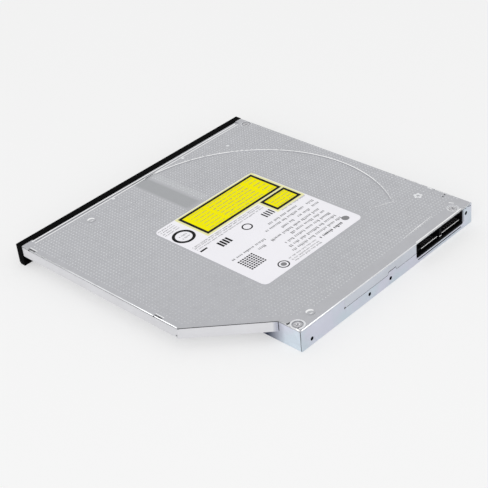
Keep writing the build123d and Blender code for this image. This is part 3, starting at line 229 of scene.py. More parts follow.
def cover_sheet(name, top_colour, flange_lit_colour, roughness):
    """The cover's zinc-coated sheet: its rear flange has the brighter tone of the case's walls as painted light, and
    the smooth band in front of the label has painted shade at its middle and painted light at its left side."""
    material = zinc_coated_steel(name, top_colour, roughness, spread=0.025)
    sheet = Finish.of(material)
    top_tone = sheet.shader.inputs["Base Color"].links[0].from_socket
    # painted shade over the smooth band's middle and painted light at its left side
    ahead = sheet.outside(sheet.along("Y", front + 34 * mm, front + 37 * mm))
    for start, end, colour in ((-7.5, -2.6, (0.56, 0.57, 0.59, 1.0)), (-2.4, 6.0, (0.42, 0.43, 0.445, 1.0))):
        inside = sheet.within("X", start * mm, end * mm, 1.2 * mm)
        top_tone = sheet.blend(sheet.product(inside, ahead), top_tone, colour)
    # the rear flange's brighter tone is painted light
    patches = sheet.noise(70.0)
    flange_lit_tone = sheet.shade(sheet.spread(patches, 0.0, 1.0), 0.95, 1.05, flange_lit_colour)
    sheet.feed("Base Color", sheet.blend(sheet.along("Y", *rear_skin), top_tone, flange_lit_tone))
    return material


def case_sheet(name, rear_lit_colour, side_lit_colour, shade_colour, roughness):
    """The case's zinc-coated sheet, with a faint play of hue: painted light makes it cooler behind the cut corner than
    on the wing's side and darker on the rear face, and painted shade dims the rear wall's holes and the deep part's
    side where it runs close under the wing."""
    material = zinc_coated_steel(name, rear_lit_colour, roughness)
    sheet = Finish.of(material)
    plain = sheet.shader.inputs["Base Color"].links[0].from_socket
    hue = sheet.spread(sheet.noise(55.0, detail=2.0), 0.0, 1.0, 0.42, 0.58)
    cast = sheet.blend(hue, (0.955, 1.0, 1.0, 1.0), (1.03, 0.985, 1.02, 1.0))
    rear = sheet.blend(1.0, plain, cast, "MULTIPLY")
    patches = sheet.spread(sheet.noise(70.0), 0.0, 1.0)
    # painted light: a neutral tint on the wing's side and a cooler one behind the cut corner
    wing = sheet.along("X", jog_x + 0.4 * mm, jog_x + 1.5 * mm)
    walls = sheet.blend(wing, rear, sheet.shade(patches, 0.96, 1.04, side_lit_colour))
    # painted shade darkens the rear face
    rear_face_shaded_tone = sheet.shade(patches, 0.96, 1.04, [c * 0.86 for c in rear_lit_colour])
    rear_face_shaded_tone = sheet.blend(1.0, cast, rear_face_shaded_tone, "MULTIPLY")
    walls = sheet.blend(sheet.along("Y", *rear_skin), walls, rear_face_shaded_tone)
    # painted shade inside the rear wall's holes
    bore_edge = 0.1 * mm
    bore_shade = sheet.product(
        sheet.along("Y", case_hi.y - 3.0 * mm, case_hi.y - 3.0 * mm + bore_edge),
        sheet.outside(sheet.along("Y", case_hi.y - 0.16 * mm, case_hi.y - 0.08 * mm)),
        sheet.within("X", case_lo.x + 0.5 * mm, jog_x - 1.5 * mm + bore_edge, bore_edge),
        sheet.within("Z", 0.5 * mm, 9.0 * mm + bore_edge, bore_edge))
    walls = sheet.blend(bore_shade, walls, (*[c * 0.3 for c in shade_colour], 1.0))
    # painted shadow on the deep part's side under the wing
    under_wing_shadow = sheet.product(
        sheet.along("X", jog_x - 0.5 * mm, jog_x - 0.1 * mm), sheet.outside(wing),
        sheet.outside(sheet.along("Y", corner_rear - 6.0 * mm, corner_rear + 3.0 * mm)))
    sheet.feed("Base Color", sheet.blend(under_wing_shadow, walls, (*shade_colour, 1.0)))
    return material


def turned_metal(name, colour, roughness, axis):
    """Metal turned on a lathe: fine rings round an axis along Z, found from the distance to that axis."""
    metal = Finish(name, colour, roughness, 0.9)
    rings = metal.node("TexWave", {"wave_type": "RINGS", "rings_direction": "Z"},
                       Vector=metal.place(centre=(*axis, 0.0)), Scale=900.0, Distortion=0.4, Detail=2.0).outputs["Fac"]
    mottle = metal.noise(160.0, centre=(*axis, 0.0))
    metal.tone(mottle, 0.92, 1.06)
    metal.gloss(rings, -0.06, 0.08, 0.0, 1.0)
    metal.bump(rings, 0.004 * mm)
    return metal.material


def moulded_plastic(name, colour, roughness, depth=0.012, grains=1500.0, **more):
    """Moulded plastic: a spark-eroded grain, with slight differences of gloss where it cooled."""
    return mottled(name, colour, roughness, (35.0, 2.0), (0.9, 1.1), (-0.05, 0.07), (grains, 3.0, 0.7), depth, **more)


def sintered_magnet(name, colour, roughness):
    """Sintered magnet or laminated core: dark grey, with a fine sparkle and thin layer lines along Z."""
    magnet = Finish(name, colour, roughness, 0.35)
    layers = magnet.node("TexWave", {"bands_direction": "Z"}, Vector=magnet.place(), Scale=900.0).outputs["Fac"]
    specks = magnet.noise(2400.0, detail=2.0, roughness=0.8)
    magnet.tone(specks, 0.75, 1.5, 0.4, 0.62)
    magnet.bump(layers, 0.01 * mm)
    return magnet.material


def wound_copper(name, colour, roughness, axis):
    """Enamelled wire wound on radial teeth: turns lie as rings round the motor's axis."""
    copper = Finish(name, colour, roughness, 0.8, Coat_Weight=0.5, Coat_Roughness=0.15)
    turns = copper.node("TexWave", {"wave_type": "RINGS", "rings_direction": "Z", "wave_profile": "SIN"},
                        Vector=copper.place(centre=(*axis, 0.0)), Scale=1500.0).outputs["Fac"]
    uneven = copper.noise(500.0, centre=(*axis, 0.0))
    copper.tone(turns, 0.55, 1.25, 0.0, 1.0)
    copper.gloss(uneven, -0.05, 0.1)
    copper.bump(turns, 0.05 * mm)
    return copper.material


def board_lacquer(name, colour, roughness):
    """Green lacquer over copper: two sets of thin lighter tracks on a darker field, and specks of vias."""
    board = Finish(name, colour, roughness, Coat_Weight=0.3, Coat_Roughness=0.2)
    tracks = []
    for turn, wide, high in ((0.0, 6.5, 0.42), (math.pi / 2, 4.8, 0.5)):
        bricks = board.node("TexBrick", {"offset": 0.37, "squash": 0.8, "squash_frequency": 3},
                            Vector=board.place(turn=turn), Scale=1000.0, Mortar_Size=0.07, Mortar_Smooth=0.2,
                            Brick_Width=wide, Row_Height=high, Color1=(0, 0, 0, 1), Color2=(0, 0, 0, 1),
                            Mortar=(1, 1, 1, 1))
        patches = board.noise(110.0, detail=0.0, centre=(turn, 0.0, 0.0))
        tracks.append(board.product(bricks.outputs["Fac"], board.spread(patches, 0.0, 1.0, 0.45, 0.5)))
    lines = board.maths("MAXIMUM", tracks[0], tracks[1])
    vias = board.node("TexVoronoi", Vector=board.place(scale=(1.0, 1.0, 0.0)), Scale=420.0).outputs["Distance"]
    rings = board.spread(vias, 1.0, 0.0, 0.12, 0.16)
    marks = board.maths("MAXIMUM", lines, rings)
    lighter = (*[min(1.0, c * 2.2 + 0.03) for c in colour], 1.0)
    board.feed("Base Color", board.blend(marks, board.colour, lighter))
    board.bump(marks, 0.02 * mm)
    return board.material


def chip_resin(name, colour, roughness):
    """Black moulded resin: a satin speckle, with a faint paler sheen in patches."""
    resin = Finish(name, colour, roughness)
    specks = resin.noise(3200.0, detail=2.0, roughness=0.8)
    patches = resin.noise(120.0)
    resin.tone(specks, 0.7, 1.5, 0.35, 0.65)
    resin.gloss(patches, -0.06, 0.08)
    resin.bump(specks, 0.008 * mm)
    return resin.material


def flat_cable_film(name, colour, roughness, pitch):
    """White flat cable: parallel tinned strips seen through the film, side by side across X."""
    film = Finish(name, colour, roughness, Coat_Weight=0.4, Coat_Roughness=0.1)
    strips = film.node("TexWave", {"bands_direction": "X"}, Vector=film.place(), Scale=0.314 / pitch).outputs["Fac"]
    strip = film.spread(strips, 0.0, 1.0, 0.45, 0.6)
    film.feed("Base Color", film.blend(strip, film.colour, (0.52, 0.53, 0.54, 1.0)))
    film.gloss(strips, 0.0, -0.1, 0.4, 0.6)
    film.bump(strips, 0.03 * mm)
    return film.material


def printing_ink(name, colour, roughness=0.5, **more):
    """Screen-printed ink: nearly even, with a slight grain where the film shows through."""
    return mottled(name, colour, roughness, (1500.0, 3.0), (0.96, 1.05), (-0.05, 0.05), **more)


def dress(material, *names):
    """Gives the named nodes a finish."""
    for name in names:
        nodes[name].data.materials.clear()
        nodes[name].data.materials.append(material)


cover_colour = (0.515, 0.52, 0.545)
# painted light: the brighter tint of the cover's upright flange
flange_lit_colour = (0.63, 0.66, 0.72)
# painted light: the case walls' tints, cooler behind the cut corner and neutral on the wing's side
rear_lit_case_colour = (0.74, 0.79, 0.87)
side_lit_wing_colour = (0.76, 0.76, 0.785)
# painted shade: the colour of the shadow under the wing and in the rear wall's holes
shade_colour = (0.03, 0.04, 0.08)
# painted highlight: the lighter colour of the cover's dots
dot_highlight_colour = (0.64, 0.65, 0.67)
# painted highlight: the bright colour of the folds, pressings and bosses
edge_highlight_colour = (0.84, 0.85, 0.87)
cover_steel = cover_sheet("pressed_cover_steel", cover_colour, flange_lit_colour, 0.42)
wall_steel = case_sheet("folded_case_steel", rear_lit_case_colour, side_lit_wing_colour, shade_colour, 0.34)
dot_highlight_steel = zinc_coated_steel("painted_highlight_dot_steel", dot_highlight_colour, 0.3)
edge_highlight_steel = zinc_coated_steel("painted_highlight_edge_steel", edge_highlight_colour, 0.3)
# painted highlight: near-white for the lines that catch the light
line_highlight_steel = zinc_coated_steel("painted_highlight_line_steel", (0.98, 0.985, 0.99), 0.35, metallic=0.1)
# painted shade: near black for seams, slots and pits, and grey for the dimples' crescents
shade_metal = rolled_steel("seam_shade", (0.008, 0.009, 0.012), 0.75, metallic=0.0)
dish_metal = rolled_steel("dish_shade", (0.33, 0.335, 0.35), 0.5, metallic=0.3)
bright_steel = rolled_steel("bright_rolled_steel", (0.62, 0.63, 0.65), 0.3, grain=(900.0, 40.0, 900.0))
frame_sheet = rolled_steel("mechanism_sheet", (0.50, 0.51, 0.53), 0.36)
screw_metal = rolled_steel("screw_metal", (0.58, 0.58, 0.60), 0.28, grain=(900.0, 900.0, 60.0))
rod_metal = rolled_steel("ground_rod_metal", (0.68, 0.69, 0.71), 0.16, grain=(900.0, 30.0, 900.0))
rotor_metal = turned_metal("turned_rotor_metal", (0.66, 0.66, 0.69), 0.24, disc_axis)
tray_plastic = moulded_plastic("tray_plastic", (0.030, 0.030, 0.033), 0.52, depth=0.03)
bezel_plastic = moulded_plastic("bezel_plastic", (0.0022, 0.0022, 0.0024), 0.5, depth=0.008,
                                Specular_IOR_Level=0.01)
socket_plastic = moulded_plastic("socket_plastic", (0.003, 0.003, 0.0035), 0.45, depth=0.006,
                                 Specular_IOR_Level=0.03)
guide_plastic = moulded_plastic("guide_plastic", (0.62, 0.62, 0.60), 0.4, Subsurface_Weight=0.05)
black_plastic = moulded_plastic("black_plastic", (0.010, 0.010, 0.011), 0.42, depth=0.01,
                                Specular_IOR_Level=0.3)
# Satin polyester film, very slightly uneven in gloss and faintly wavy
label_film = mottled("label_film", (0.925, 0.915, 0.96), 0.38, (60.0, 3.0), tone=(0.985, 1.01), gloss=(-0.04, 0.05),
                     grain=(900.0, 1.0), depth=0.004, Coat_Weight=0.15, Coat_Roughness=0.25)
# Die-cast metal, dull and slightly pebbled, with darker flow marks
sled_casting = mottled("sled_casting", (0.34, 0.35, 0.37), 0.46, (90.0, 5.0, 0.65), tone=(0.84, 1.08),
                       gloss=(0.1, -0.05), grain=(1400.0, 3.0), depth=0.02, stretch=(1.0, 2.2, 1.0), metallic=0.7)
# Thin plating, worn in small patches along the wiped faces
contact_plate = mottled("contact_plate", (0.20, 0.19, 0.20), 0.5, (700.0, 3.0), tone=(1.0, 0.9, 0.5, 0.8),
                        gloss=(-0.05, 0.1), stretch=(4.0, 0.4, 4.0), metallic=0.95)
# Tan fired ceramic with a fine speckle
ceramic = mottled("capacitor_ceramic", (0.42, 0.28, 0.16), 0.4, (2600.0, 2.0), tone=(0.85, 1.15), depth=0.01)
# Matt black damping rubber with a bloom of pale dust
rubber = mottled("soft_rubber", (0.030, 0.030, 0.031), 0.7, (300.0, 5.0, 0.7), tone=(0.8, 1.7), grain=(1800.0,),
                 depth=0.02)
# Clear glass with a bluish coating
lens_glass = mottled("coated_lens", (0.85, 0.88, 0.98), 0.04, (800.0,), gloss=(-0.02, 0.03), Transmission_Weight=0.85,
                     IOR=1.5, Coat_Weight=0.6, Coat_Roughness=0.02, Coat_Tint=(0.75, 0.8, 1.0, 1.0))
# Milky clear plastic with fine swirls from moulding
lamp_plastic = mottled("lamp_plastic", (0.72, 0.80, 0.72), 0.2, (700.0, 4.0), tone=(0.85, 1.05), gloss=(-0.06, 0.08),
                       Transmission_Weight=0.5, IOR=1.49)

dress(cover_steel, "top_cover")
dress(wall_steel, "bottom_case")
dress(screw_metal, "cover_screws", "board_screws", "mount_screws", "tray_board_screws", "plate_screws",
      "latch_post", "latch_pin")
dress(bright_steel, "slide_rail_left", "slide_rail_right", "feed_bracket", "tray_bottom_plate",
      "mechanism_shield", "motor_base", "feed_motor", "latch_lever")
dress(rod_metal, "guide_rods", "lead_screw", "solenoid_plunger")
dress(frame_sheet, "mechanism_frame")
dress(rotor_metal, "turntable")
dress(sled_casting, "pickup_sled")
dress(tray_plastic, "tray")
dress(bezel_plastic, "front_bezel", "eject_button")
dress(guide_plastic, "rail_guide_left", "rail_guide_right", "rod_holders", "feed_rack")
dress(socket_plastic, "socket_housing")
dress(black_plastic, "lens_holder", "hub_claw_1", "hub_claw_2", "hub_claw_3",
      "eject_switch", "flex_connector")
dress(moulded_plastic("coil_wrap", (0.05, 0.045, 0.04), 0.35, grains=600.0), "latch_solenoid")
dress(chip_resin("chip_resin", (0.020, 0.020, 0.022), 0.45), "controller_chip", "driver_chips")
dress(sintered_magnet("magnet_and_core", (0.10, 0.10, 0.11), 0.45), "rotor_magnet", "actuator_magnets",
      "stator_core")
dress(wound_copper("wound_copper", (0.60, 0.26, 0.12), 0.3, disc_axis), "stator_coils")
dress(contact_plate, "socket_contacts")
dress(board_lacquer("board_lacquer", (0.015, 0.10, 0.04), 0.3), "main_board", "tray_board")
dress(ceramic, "board_capacitors")
dress(flat_cable_film("flat_cable_film", (0.78, 0.78, 0.75), 0.35, 1.0 * mm), "main_flex")
dress(rubber, "rubber_mounts", "turntable_pad")
dress(lens_glass, "objective_lenses")
dress(lamp_plastic, "lamp_window", "lamp")
dress(label_film, "rating_label")


def placed(name, data):
    """A new object of the scene with its data."""
    made = bpy.data.objects.new(name, data)
    bpy.context.scene.collection.objects.link(made)
    return made


# Meshes from whole arrays
def make_piece(name, points, faces, material, body, slot, smooth=True):
    """An object from an array of points and lists of faces, with its finish and its body; the slot is not used."""
    mesh = bpy.data.meshes.new(name)
    mesh.from_pydata(points.reshape(-1, 3).tolist(), [], faces)
    mesh.polygons.foreach_set("use_smooth", [smooth] * len(mesh.polygons))
    mesh.update()
    mesh.materials.append(material)
    piece = placed(name, mesh)
    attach(piece, body)
    return piece


def ring_faces(rings, around):
    """Quads between each ring of points and the next, going round: points j and j + 1 of one ring, then of the next."""
    i, j = np.meshgrid(np.arange(rings - 1), np.arange(around), indexing="ij")
    k = (j + 1) % around
    quads = np.stack([i * around + j, i * around + k, (i + 1) * around + k, (i + 1) * around + j], -1)
    return quads.reshape(-1, 4)


def closed_rings(rings):
    """Points and faces of a closed surface: stacked rings, with a middle point that closes the first and the last."""
    count, around, _ = rings.shape
    points = np.concatenate([rings.reshape(-1, 3), rings[0].mean(0)[None], rings[-1].mean(0)[None]])
    j = np.arange(around)
    k = (j + 1) % around
    first_cap = np.stack([np.full(around, count * around), k, j], -1)
    last = (count - 1) * around
    last_cap = np.stack([np.full(around, count * around + 1), last + j, last + k], -1)
    faces = ring_faces(count, around).tolist() + first_cap.tolist() + last_cap.tolist()
    return points, faces


def looped_rings(rings):
    """Points and faces of a closed band: stacked rings, the last joined to the first."""
    count, around, _ = rings.shape
    return rings.reshape(-1, 3), (ring_faces(count + 1, around) % (count * around)).tolist()


def join(parts):
    """Points and faces of several meshes as one."""
    points, faces, first = [], [], 0
    for some_points, some_faces in parts:
        flat_points = some_points.reshape(-1, 3)
        points.append(flat_points)
        faces += [[index + first for index in face] for face in some_faces]
        first += len(flat_points)
    return np.concatenate(points), faces


def trim(name, parts, material, smooth=False):
    """A piece of trim on the case's sheet, joined from closed parts."""
    return make_piece(name, *join(parts), material, "case", "case_steel", smooth)


def turned(x, y, profile, sides=32, lobes=0, swell=0.0):
    """Rings about an upright axis, one for each radius and height in mm: the radius grows and shrinks by swell as
    the cosine of lobes times the angle, and Y counts from the case's front."""
    angles = np.arange(sides) * 2 * math.pi / sides
    radius, height = np.array(profile, float).T[:, :, None]
    radius = radius * (1 + swell * np.cos(lobes * angles))
    return np.stack([x + radius * np.cos(angles), front / mm + y + radius * np.sin(angles),
                     np.broadcast_to(height, radius.shape)], -1) * mm


# Dots pressed up in the cover: low domes on a square lattice, in a lighter colour that paints their highlights
dot_pitch = (1.51 * mm, 1.56 * mm)
dot_radius = 0.46 * mm
dot_height = 0.1 * mm
dot_sink = 0.02 * mm
dot_sides = 8
shoulder_radius = 0.62
shoulder_height = 0.75
dot_fade_place = (45.0 * mm, front + 88.0 * mm)
dot_fade_reach = 38.0 * mm
dot_fade_share = 0.42
level_slope = 0.9995
deepest_panel = 0.3 * mm
flatness = 0.002 * mm
probe_reach = 1.25 * dot_radius
left_margin = 1.2 * mm
right_margin = 2.2 * mm
rear_margin = 5.6 * mm
corner_margin = 2.4 * mm
front_strip = 4.6 * mm


def lattice(lo, hi, pitch):
    """Centres of a square lattice: whole steps from the lower corner."""
    steps = [np.arange(int((hi[i] - lo[i]) / pitch[i]) + 1) for i in (0, 1)]
    x, y = np.meshgrid(lo[0] + steps[0] * pitch[0], lo[1] + steps[1] * pitch[1], indexing="ij")
    return np.stack([x.ravel(), y.ravel()], -1)


cover_tree = BVHTree.FromObject(nodes["top_cover"], bpy.context.evaluated_depsgraph_get())
down = Vector((0.0, 0.0, -1.0))


def cover_height(places):
    """Height and upward slope of the cover's outer face below each place, as an array; nan where there is none."""
    start = cover_top + mm
    hits = [cover_tree.ray_cast(Vector((x, y, start)), down) for x, y in places]
    return np.array([(h[0].z, h[1].z) if h[0] else (np.nan, 0.0) for h in hits])


def on_flat(places):
    """Which places, with four points round each, lie on one level face of the cover; also their height."""
    middle = cover_height(places)
    good = (middle[:, 1] > level_slope) & (middle[:, 0] > cover_top - deepest_panel)
    for dx, dy in ((1, 0), (-1, 0), (0, 1), (0, -1)):
        near = cover_height(places + np.array([dx, dy]) * probe_reach)
        good &= np.abs(near[:, 0] - middle[:, 0]) < flatness
    return good, middle[:, 0]


# Plain spots of the cover: round pressings and the smooth band in front of the label
plain_circles = [(34.3, 8.3, 3.4), (28.5, 121.2, 3.4), (17.9, 3.6, 2.0), (-22.8, 3.8, 2.0), (-42.1, 12.6, 2.0),
                 (-56.0, 105.9, 2.8), (-59.0, 120.0, 2.4)]
plain_boxes = [(-2.3, 5.5, 5.0, 36.0)]


def on_plain_spot(places):
    """Which places lie in a plain circle (x, y, radius) or box (x0, x1, y0, y1), in mm from the case's middle line and
    its front."""
    x, y = places[:, 0] / mm, (places[:, 1] - front) / mm
    inside = [np.hypot(x - middle_x, y - middle_y) <= radius for middle_x, middle_y, radius in plain_circles]
    inside += [(x > x0) & (x < x1) & (y > y0) & (y < y1) for x0, x1, y0, y1 in plain_boxes]
    return np.any(inside, axis=0)


dot_places = lattice((cover_lo.x + left_margin, front + front_strip),
                     (cover_hi.x - right_margin, case_hi.y - rear_margin), dot_pitch)
corner_along = Vector((jog_x - case_hi.x, corner_rear - corner_front, 0.0)).normalized()
corner_out = Vector((corner_along.y, -corner_along.x, 0.0))
corner_depth = (case_hi.x - dot_places[:, 0]) * corner_out.x + (corner_front - dot_places[:, 1]) * corner_out.y
dot_places = dot_places[~on_plain_spot(dot_places) & (corner_depth > corner_margin)]
label_middle = np.array(label_lo.xy + label_hi.xy) / 2
label_half = np.array(label_hi.xy - label_lo.xy) / 2
dot_places = dot_places[(np.abs(dot_places - label_middle) > label_half + dot_radius).any(1)]
flat, heights = on_flat(dot_places)
dot_places = np.column_stack([dot_places[flat], heights[flat]])


def dome_points(centres):
    """Domes over their centres: a foot ring below the sheet, a shoulder ring at shares of the radius and the height,
    and a crown point, each ring's points at even angles. They grow flatter and smaller by the fade share towards a
    place of the cover, as a bell curve of the distance from it, so that less of their painted highlight shows there."""
    distance = np.hypot(centres[:, 0] - dot_fade_place[0], centres[:, 1] - dot_fade_place[1])
    share = (1 - dot_fade_share * np.exp(-(distance / dot_fade_reach) ** 2))[:, None, None]
    radius, height = dot_radius * share, dot_height * share
    angles = np.arange(dot_sides) * 2 * math.pi / dot_sides
    circle = np.stack([np.cos(angles), np.sin(angles), np.zeros(dot_sides)], -1)
    foot = centres[:, None] + circle * radius - upward * dot_sink
    shoulder = centres[:, None] + circle * radius * shoulder_radius + upward * height * shoulder_height
    crown = centres[:, None] + upward * height
    return np.concatenate([foot, shoulder, crown], 1)


def dome_faces(count):
    """Faces of each dome: a floor, a wall of quads between its rings, and a fan up to its crown."""
    j = np.arange(dot_sides)
    k = (j + 1) % dot_sides
    wall = np.stack([j, k, k + dot_sides, j + dot_sides], -1)
    fan = np.stack([j + dot_sides, k + dot_sides, np.full(dot_sides, 2 * dot_sides)], -1)
    first = (np.arange(count) * (2 * dot_sides + 1))[:, None, None]
    floors = (j[::-1] + first[:, :, 0]).tolist()
    return floors + (wall + first).reshape(-1, 4).tolist() + (fan + first).reshape(-1, 3).tolist()


for side, chosen in (("left", dot_places[:, 0] < 0), ("right", dot_places[:, 0] >= 0)):
    domes = dome_points(dot_places[chosen])
    trim(f"cover_dots_{side}", [(domes, dome_faces(len(domes)))], dot_highlight_steel, smooth=True)


# Painted highlights on the folds: bright shells over the cover's edges where the sheet is folded down
fold_radius = 0.33 * mm
fold_end = 0.6 * mm
sheen_lift = 0.012 * mm
sheen_depth = 0.03 * mm


def fold_strip(start, end, outward):
    """A thin shell over a fold between two points on the edge: a quarter circle from the top face round to the side,
    its outer arc lifted a little and its inner arc sunk in the sheet, carried straight from start to end."""
    turn = np.linspace(0.0, math.pi / 2, 7)[:, None]
    outward = np.array([*outward, 0.0])
    arcs = [(outward * np.sin(turn) + upward * np.cos(turn)) * radius for radius in
            (fold_radius + sheen_lift, fold_radius - sheen_depth)]
    profile = np.concatenate([arcs[0], arcs[1][::-1]])
    centre = -(outward + upward) * fold_radius
    ends = np.array([[start[0], start[1], cover_top], [end[0], end[1], cover_top]])
    return closed_rings(ends[:, None] + centre + profile[None])


fold_edges = [((jog_x - fold_end, case_hi.y), (cover_lo.x + fold_end, case_hi.y), (0.0, 1.0)),
              ((jog_x, corner_rear + 0.4 * mm), (jog_x, case_hi.y - fold_end), (1.0, 0.0)),
              ((cover_hi.x, front + fold_end), (cover_hi.x, corner_front - 0.3 * mm), (1.0, 0.0)),
              ((cover_lo.x, case_hi.y - fold_end), (cover_lo.x, front + fold_end), (-1.0, 0.0))]
for number, (start, end, outward) in enumerate(fold_edges, 1):
    trim(f"fold_highlight_{number}", [fold_strip(start, end, outward)], edge_highlight_steel, smooth=True)


# Fine lines on the sheet: painted shade in the seams, and painted highlights on pressed or cut edges
case_x = case_hi.x / mm
jog = jog_x / mm
front_corner, rear_corner, rear_face = [(y - front) / mm for y in (corner_front, corner_rear, case_hi.y)]
top = cover_top / mm


def ribbon(path, normal, width, lift=0.014, depth=0.03):
    """A thin bar along a path in mm: at each point two corners half the width to either side, square to the path and
    to the normal, lifted off the sheet, and two more below them, sunk in it."""
    path, normal = np.array(path, float), np.array(normal, float)
    side = np.cross(normal, np.gradient(path, axis=0))
    side *= (np.broadcast_to(width, len(path)) / 2 / np.linalg.norm(side, axis=1))[:, None]
    raised, sunk = normal * lift, -normal * depth
    rings = np.stack([path + side + raised, path - side + raised, path - side + sunk, path + side + sunk], 1)
    return closed_rings((rings + np.array([0, front / mm, 0])) * mm)


def draped(path, width):
    """A ribbon laid on the cover: each point (x, y) of the path takes the height of the face below it."""
    path = np.array(path, float)
    heights = cover_height(path * mm + np.array([0, front]))[:, 0] / mm
    return ribbon(np.column_stack([path, heights]), upward, width)


def arc(x, y, radius, start, end, steps=12):
    """Points along part of a circle, from one angle in degrees to another."""
    angles = np.radians(np.linspace(start, end, steps))
    return np.stack([x + radius * np.cos(angles), y + radius * np.sin(angles)], -1)


rear, side = (0.0, 1.0, 0.0), (1.0, 0.0, 0.0)
corner_end = (jog - 0.1 * corner_along.x, rear_corner - 0.1 * corner_along.y, top - 0.36)
# painted shade: dark ribbons in seams, slots and small pits
seam_lines = [
    ribbon([(case_x, front_corner, top - 0.36), corner_end], corner_out, 0.3),
    ribbon([(39.2, 119.35, top), (38.9, 119.45, top), (38.55, 119.57, top), (38.2, 119.7, top), (37.9, 119.8, top)],
           upward, (0.75, 0.85, 0.35, 0.85, 0.75)),
    ribbon([(38.2, 124.3, top + 0.05), (38.75, 124.1, top + 0.05)], upward, 0.5),
    draped([(-61.0, 114.2), (-61.0, 114.8)], 0.5),
    draped([(-62.6, 113.9), (-62.6, 114.5)], 0.5),
    ribbon([(case_x, 3.95, top - 0.3), (case_x, 4.75, top - 0.3)], side, 0.6),
    ribbon([(case_x, 76.75, top - 0.3), (case_x, 77.55, top - 0.3)], side, 0.6),
    ribbon([(jog, rear_corner + 0.08, wing_z / mm + 0.2), (jog, rear_corner + 0.08, top - 0.2)], side, 0.2),
    ribbon([(jog, rear_face - 0.3, 0.4), (jog, rear_face - 0.36, 3.4), (jog, rear_face - 0.24, 6.2),
            (jog, rear_face - 0.3, top - 0.3)], side, (0.3, 0.26, 0.34, 0.3)),
    ribbon([(case_x, 40.0, top - 0.5), (case_x, front_corner - 2.0, top - 0.5)], side, 0.07),
]
# Painted shade on seams and edges of the rear face: points (x, z) and widths
rear_seams = [([(-27.65, 5.05), (-15.3, 5.05), (-14.9, 6.25), (-10.4, 6.25), (-10.0, 5.05), (15.3, 5.05)],
               (0.14, 0.14, 0.3, 0.3, 0.14, 0.16)),
              ([(-63.6, top - 1.35), (-61.3, top - 0.75)], 0.26), ([(-60.5, top - 0.95), (-59.2, top - 0.75)], 0.22),
              ([(-58.7, 3.2), (-58.7, 8.9)], 0.2), ([(14.9, 5.15), (15.7, 5.25)], 0.6),
              ([(-57.6, 2.75), (-28.6, 2.75)], 0.42)]
seam_lines += [ribbon([(x, rear_face, z) for x, z in points], rear, width) for points, width in rear_seams]
trim("seam_shadows", seam_lines, shade_metal)

disc_x, disc_y = disc_axis[0] / mm, (disc_axis[1] - front) / mm
panel_start, panel_end, panel_steps = 143.8, 268.0, 64
panel_width = np.interp(np.linspace(panel_start, panel_end, panel_steps), (panel_start, 150, 168, panel_end),
                        (0.14, 0.2, 0.5, 0.6))
# painted highlights: the sunken panel's rim, and edges and lines of the sheet
bright_lines = [
    draped(arc(disc_x, disc_y, 60.45, panel_start, panel_end, panel_steps), panel_width),
    draped([(-46.9, 100.6), (-40.0, 97.2), (-33.0, 93.9)], (0.2, 0.34, 0.2)),
    draped([(-46.8, 119.3), (-37.0, 119.6), (-27.7, 119.9)], (0.12, 0.3, 0.12)),
]
# Straight ones: both ends and the width
straight_lines = [(-59.0, 1.0, 59.5, 1.0, 0.55), (-59.0, 2.8, 59.5, 2.8, 0.42), (-58.6, 119.0, -59.4, 120.9, 0.42),
                  (-63.3, 105.2, -63.3, 107.6, 0.4), (-63.4, 88.2, -63.4, 90.4, 0.3),
                  (case_x - 1.4, 3.8, case_x - 1.4, 8.3, 0.3), (case_x - 1.4, 76.8, case_x - 1.4, 81.3, 0.3),
                  (-57.7, rear_face - 0.62, -28.4, rear_face - 0.62, 0.5)]
bright_lines += [draped([(x0, y0), (x1, y1)], width) for x0, y0, x1, y1, width in straight_lines]
# Painted highlights on the lower edges of the socket's two blades and of the divider between them: start, end, depth
# behind the rear face and height
socket_edges = ((-56.4, -44.85, 0.7, 4.9), (-44.08, -42.72, 0.2, 4.62), (-41.95, -31.6, 0.7, 4.9))
bright_lines += [ribbon([(x0, rear_face - inset, z), (x1, rear_face - inset, z)], rear, 0.26)
                 for x0, x1, inset, z in socket_edges]
dimples = [(34.3, 8.3), (28.5, 121.2)]
# painted highlights as bright crescents in each dimple, and painted shade as a grey crescent in dish_shadows
crescent = np.sin(np.linspace(0.3, 2.84, 12))
for x, y in dimples:
    for radius, middle, reach, width in ((0.8, 70, 50, 0.4), (1.4, 245, 80, 1.1)):
        bright_lines.append(draped(arc(x, y, radius, middle - reach, middle + reach), width * crescent))
trim("painted_highlight_lines", bright_lines, line_highlight_steel)
trim("dish_shadows", [draped(arc(x, y, 1.9, 5, 130), 0.7 * crescent) for x, y in dimples], dish_metal)


# Round pressings and bosses that shine, in the bright edge colour as painted highlights
def low_dome(radius, foot, crown):
    """Radius and height in mm along a dome's outline: a quarter of an ellipse from foot to crown."""
    turn = np.radians([0, 22, 45, 67, 84])
    return [(radius, foot - 0.1)] + [(radius * math.cos(t), foot + (crown - foot) * math.sin(t)) for t in turn]


pressings = [closed_rings(turned(x, y, low_dome(0.85, top - 0.12, top + 0.14), 20))
             for x, y in ((17.9, 3.6), (-22.8, 3.8), (-42.1, 12.6))]
seat_ring = ((2.5, -0.04), (2.42, 0.02), (2.22, 0.02), (2.15, -0.04))
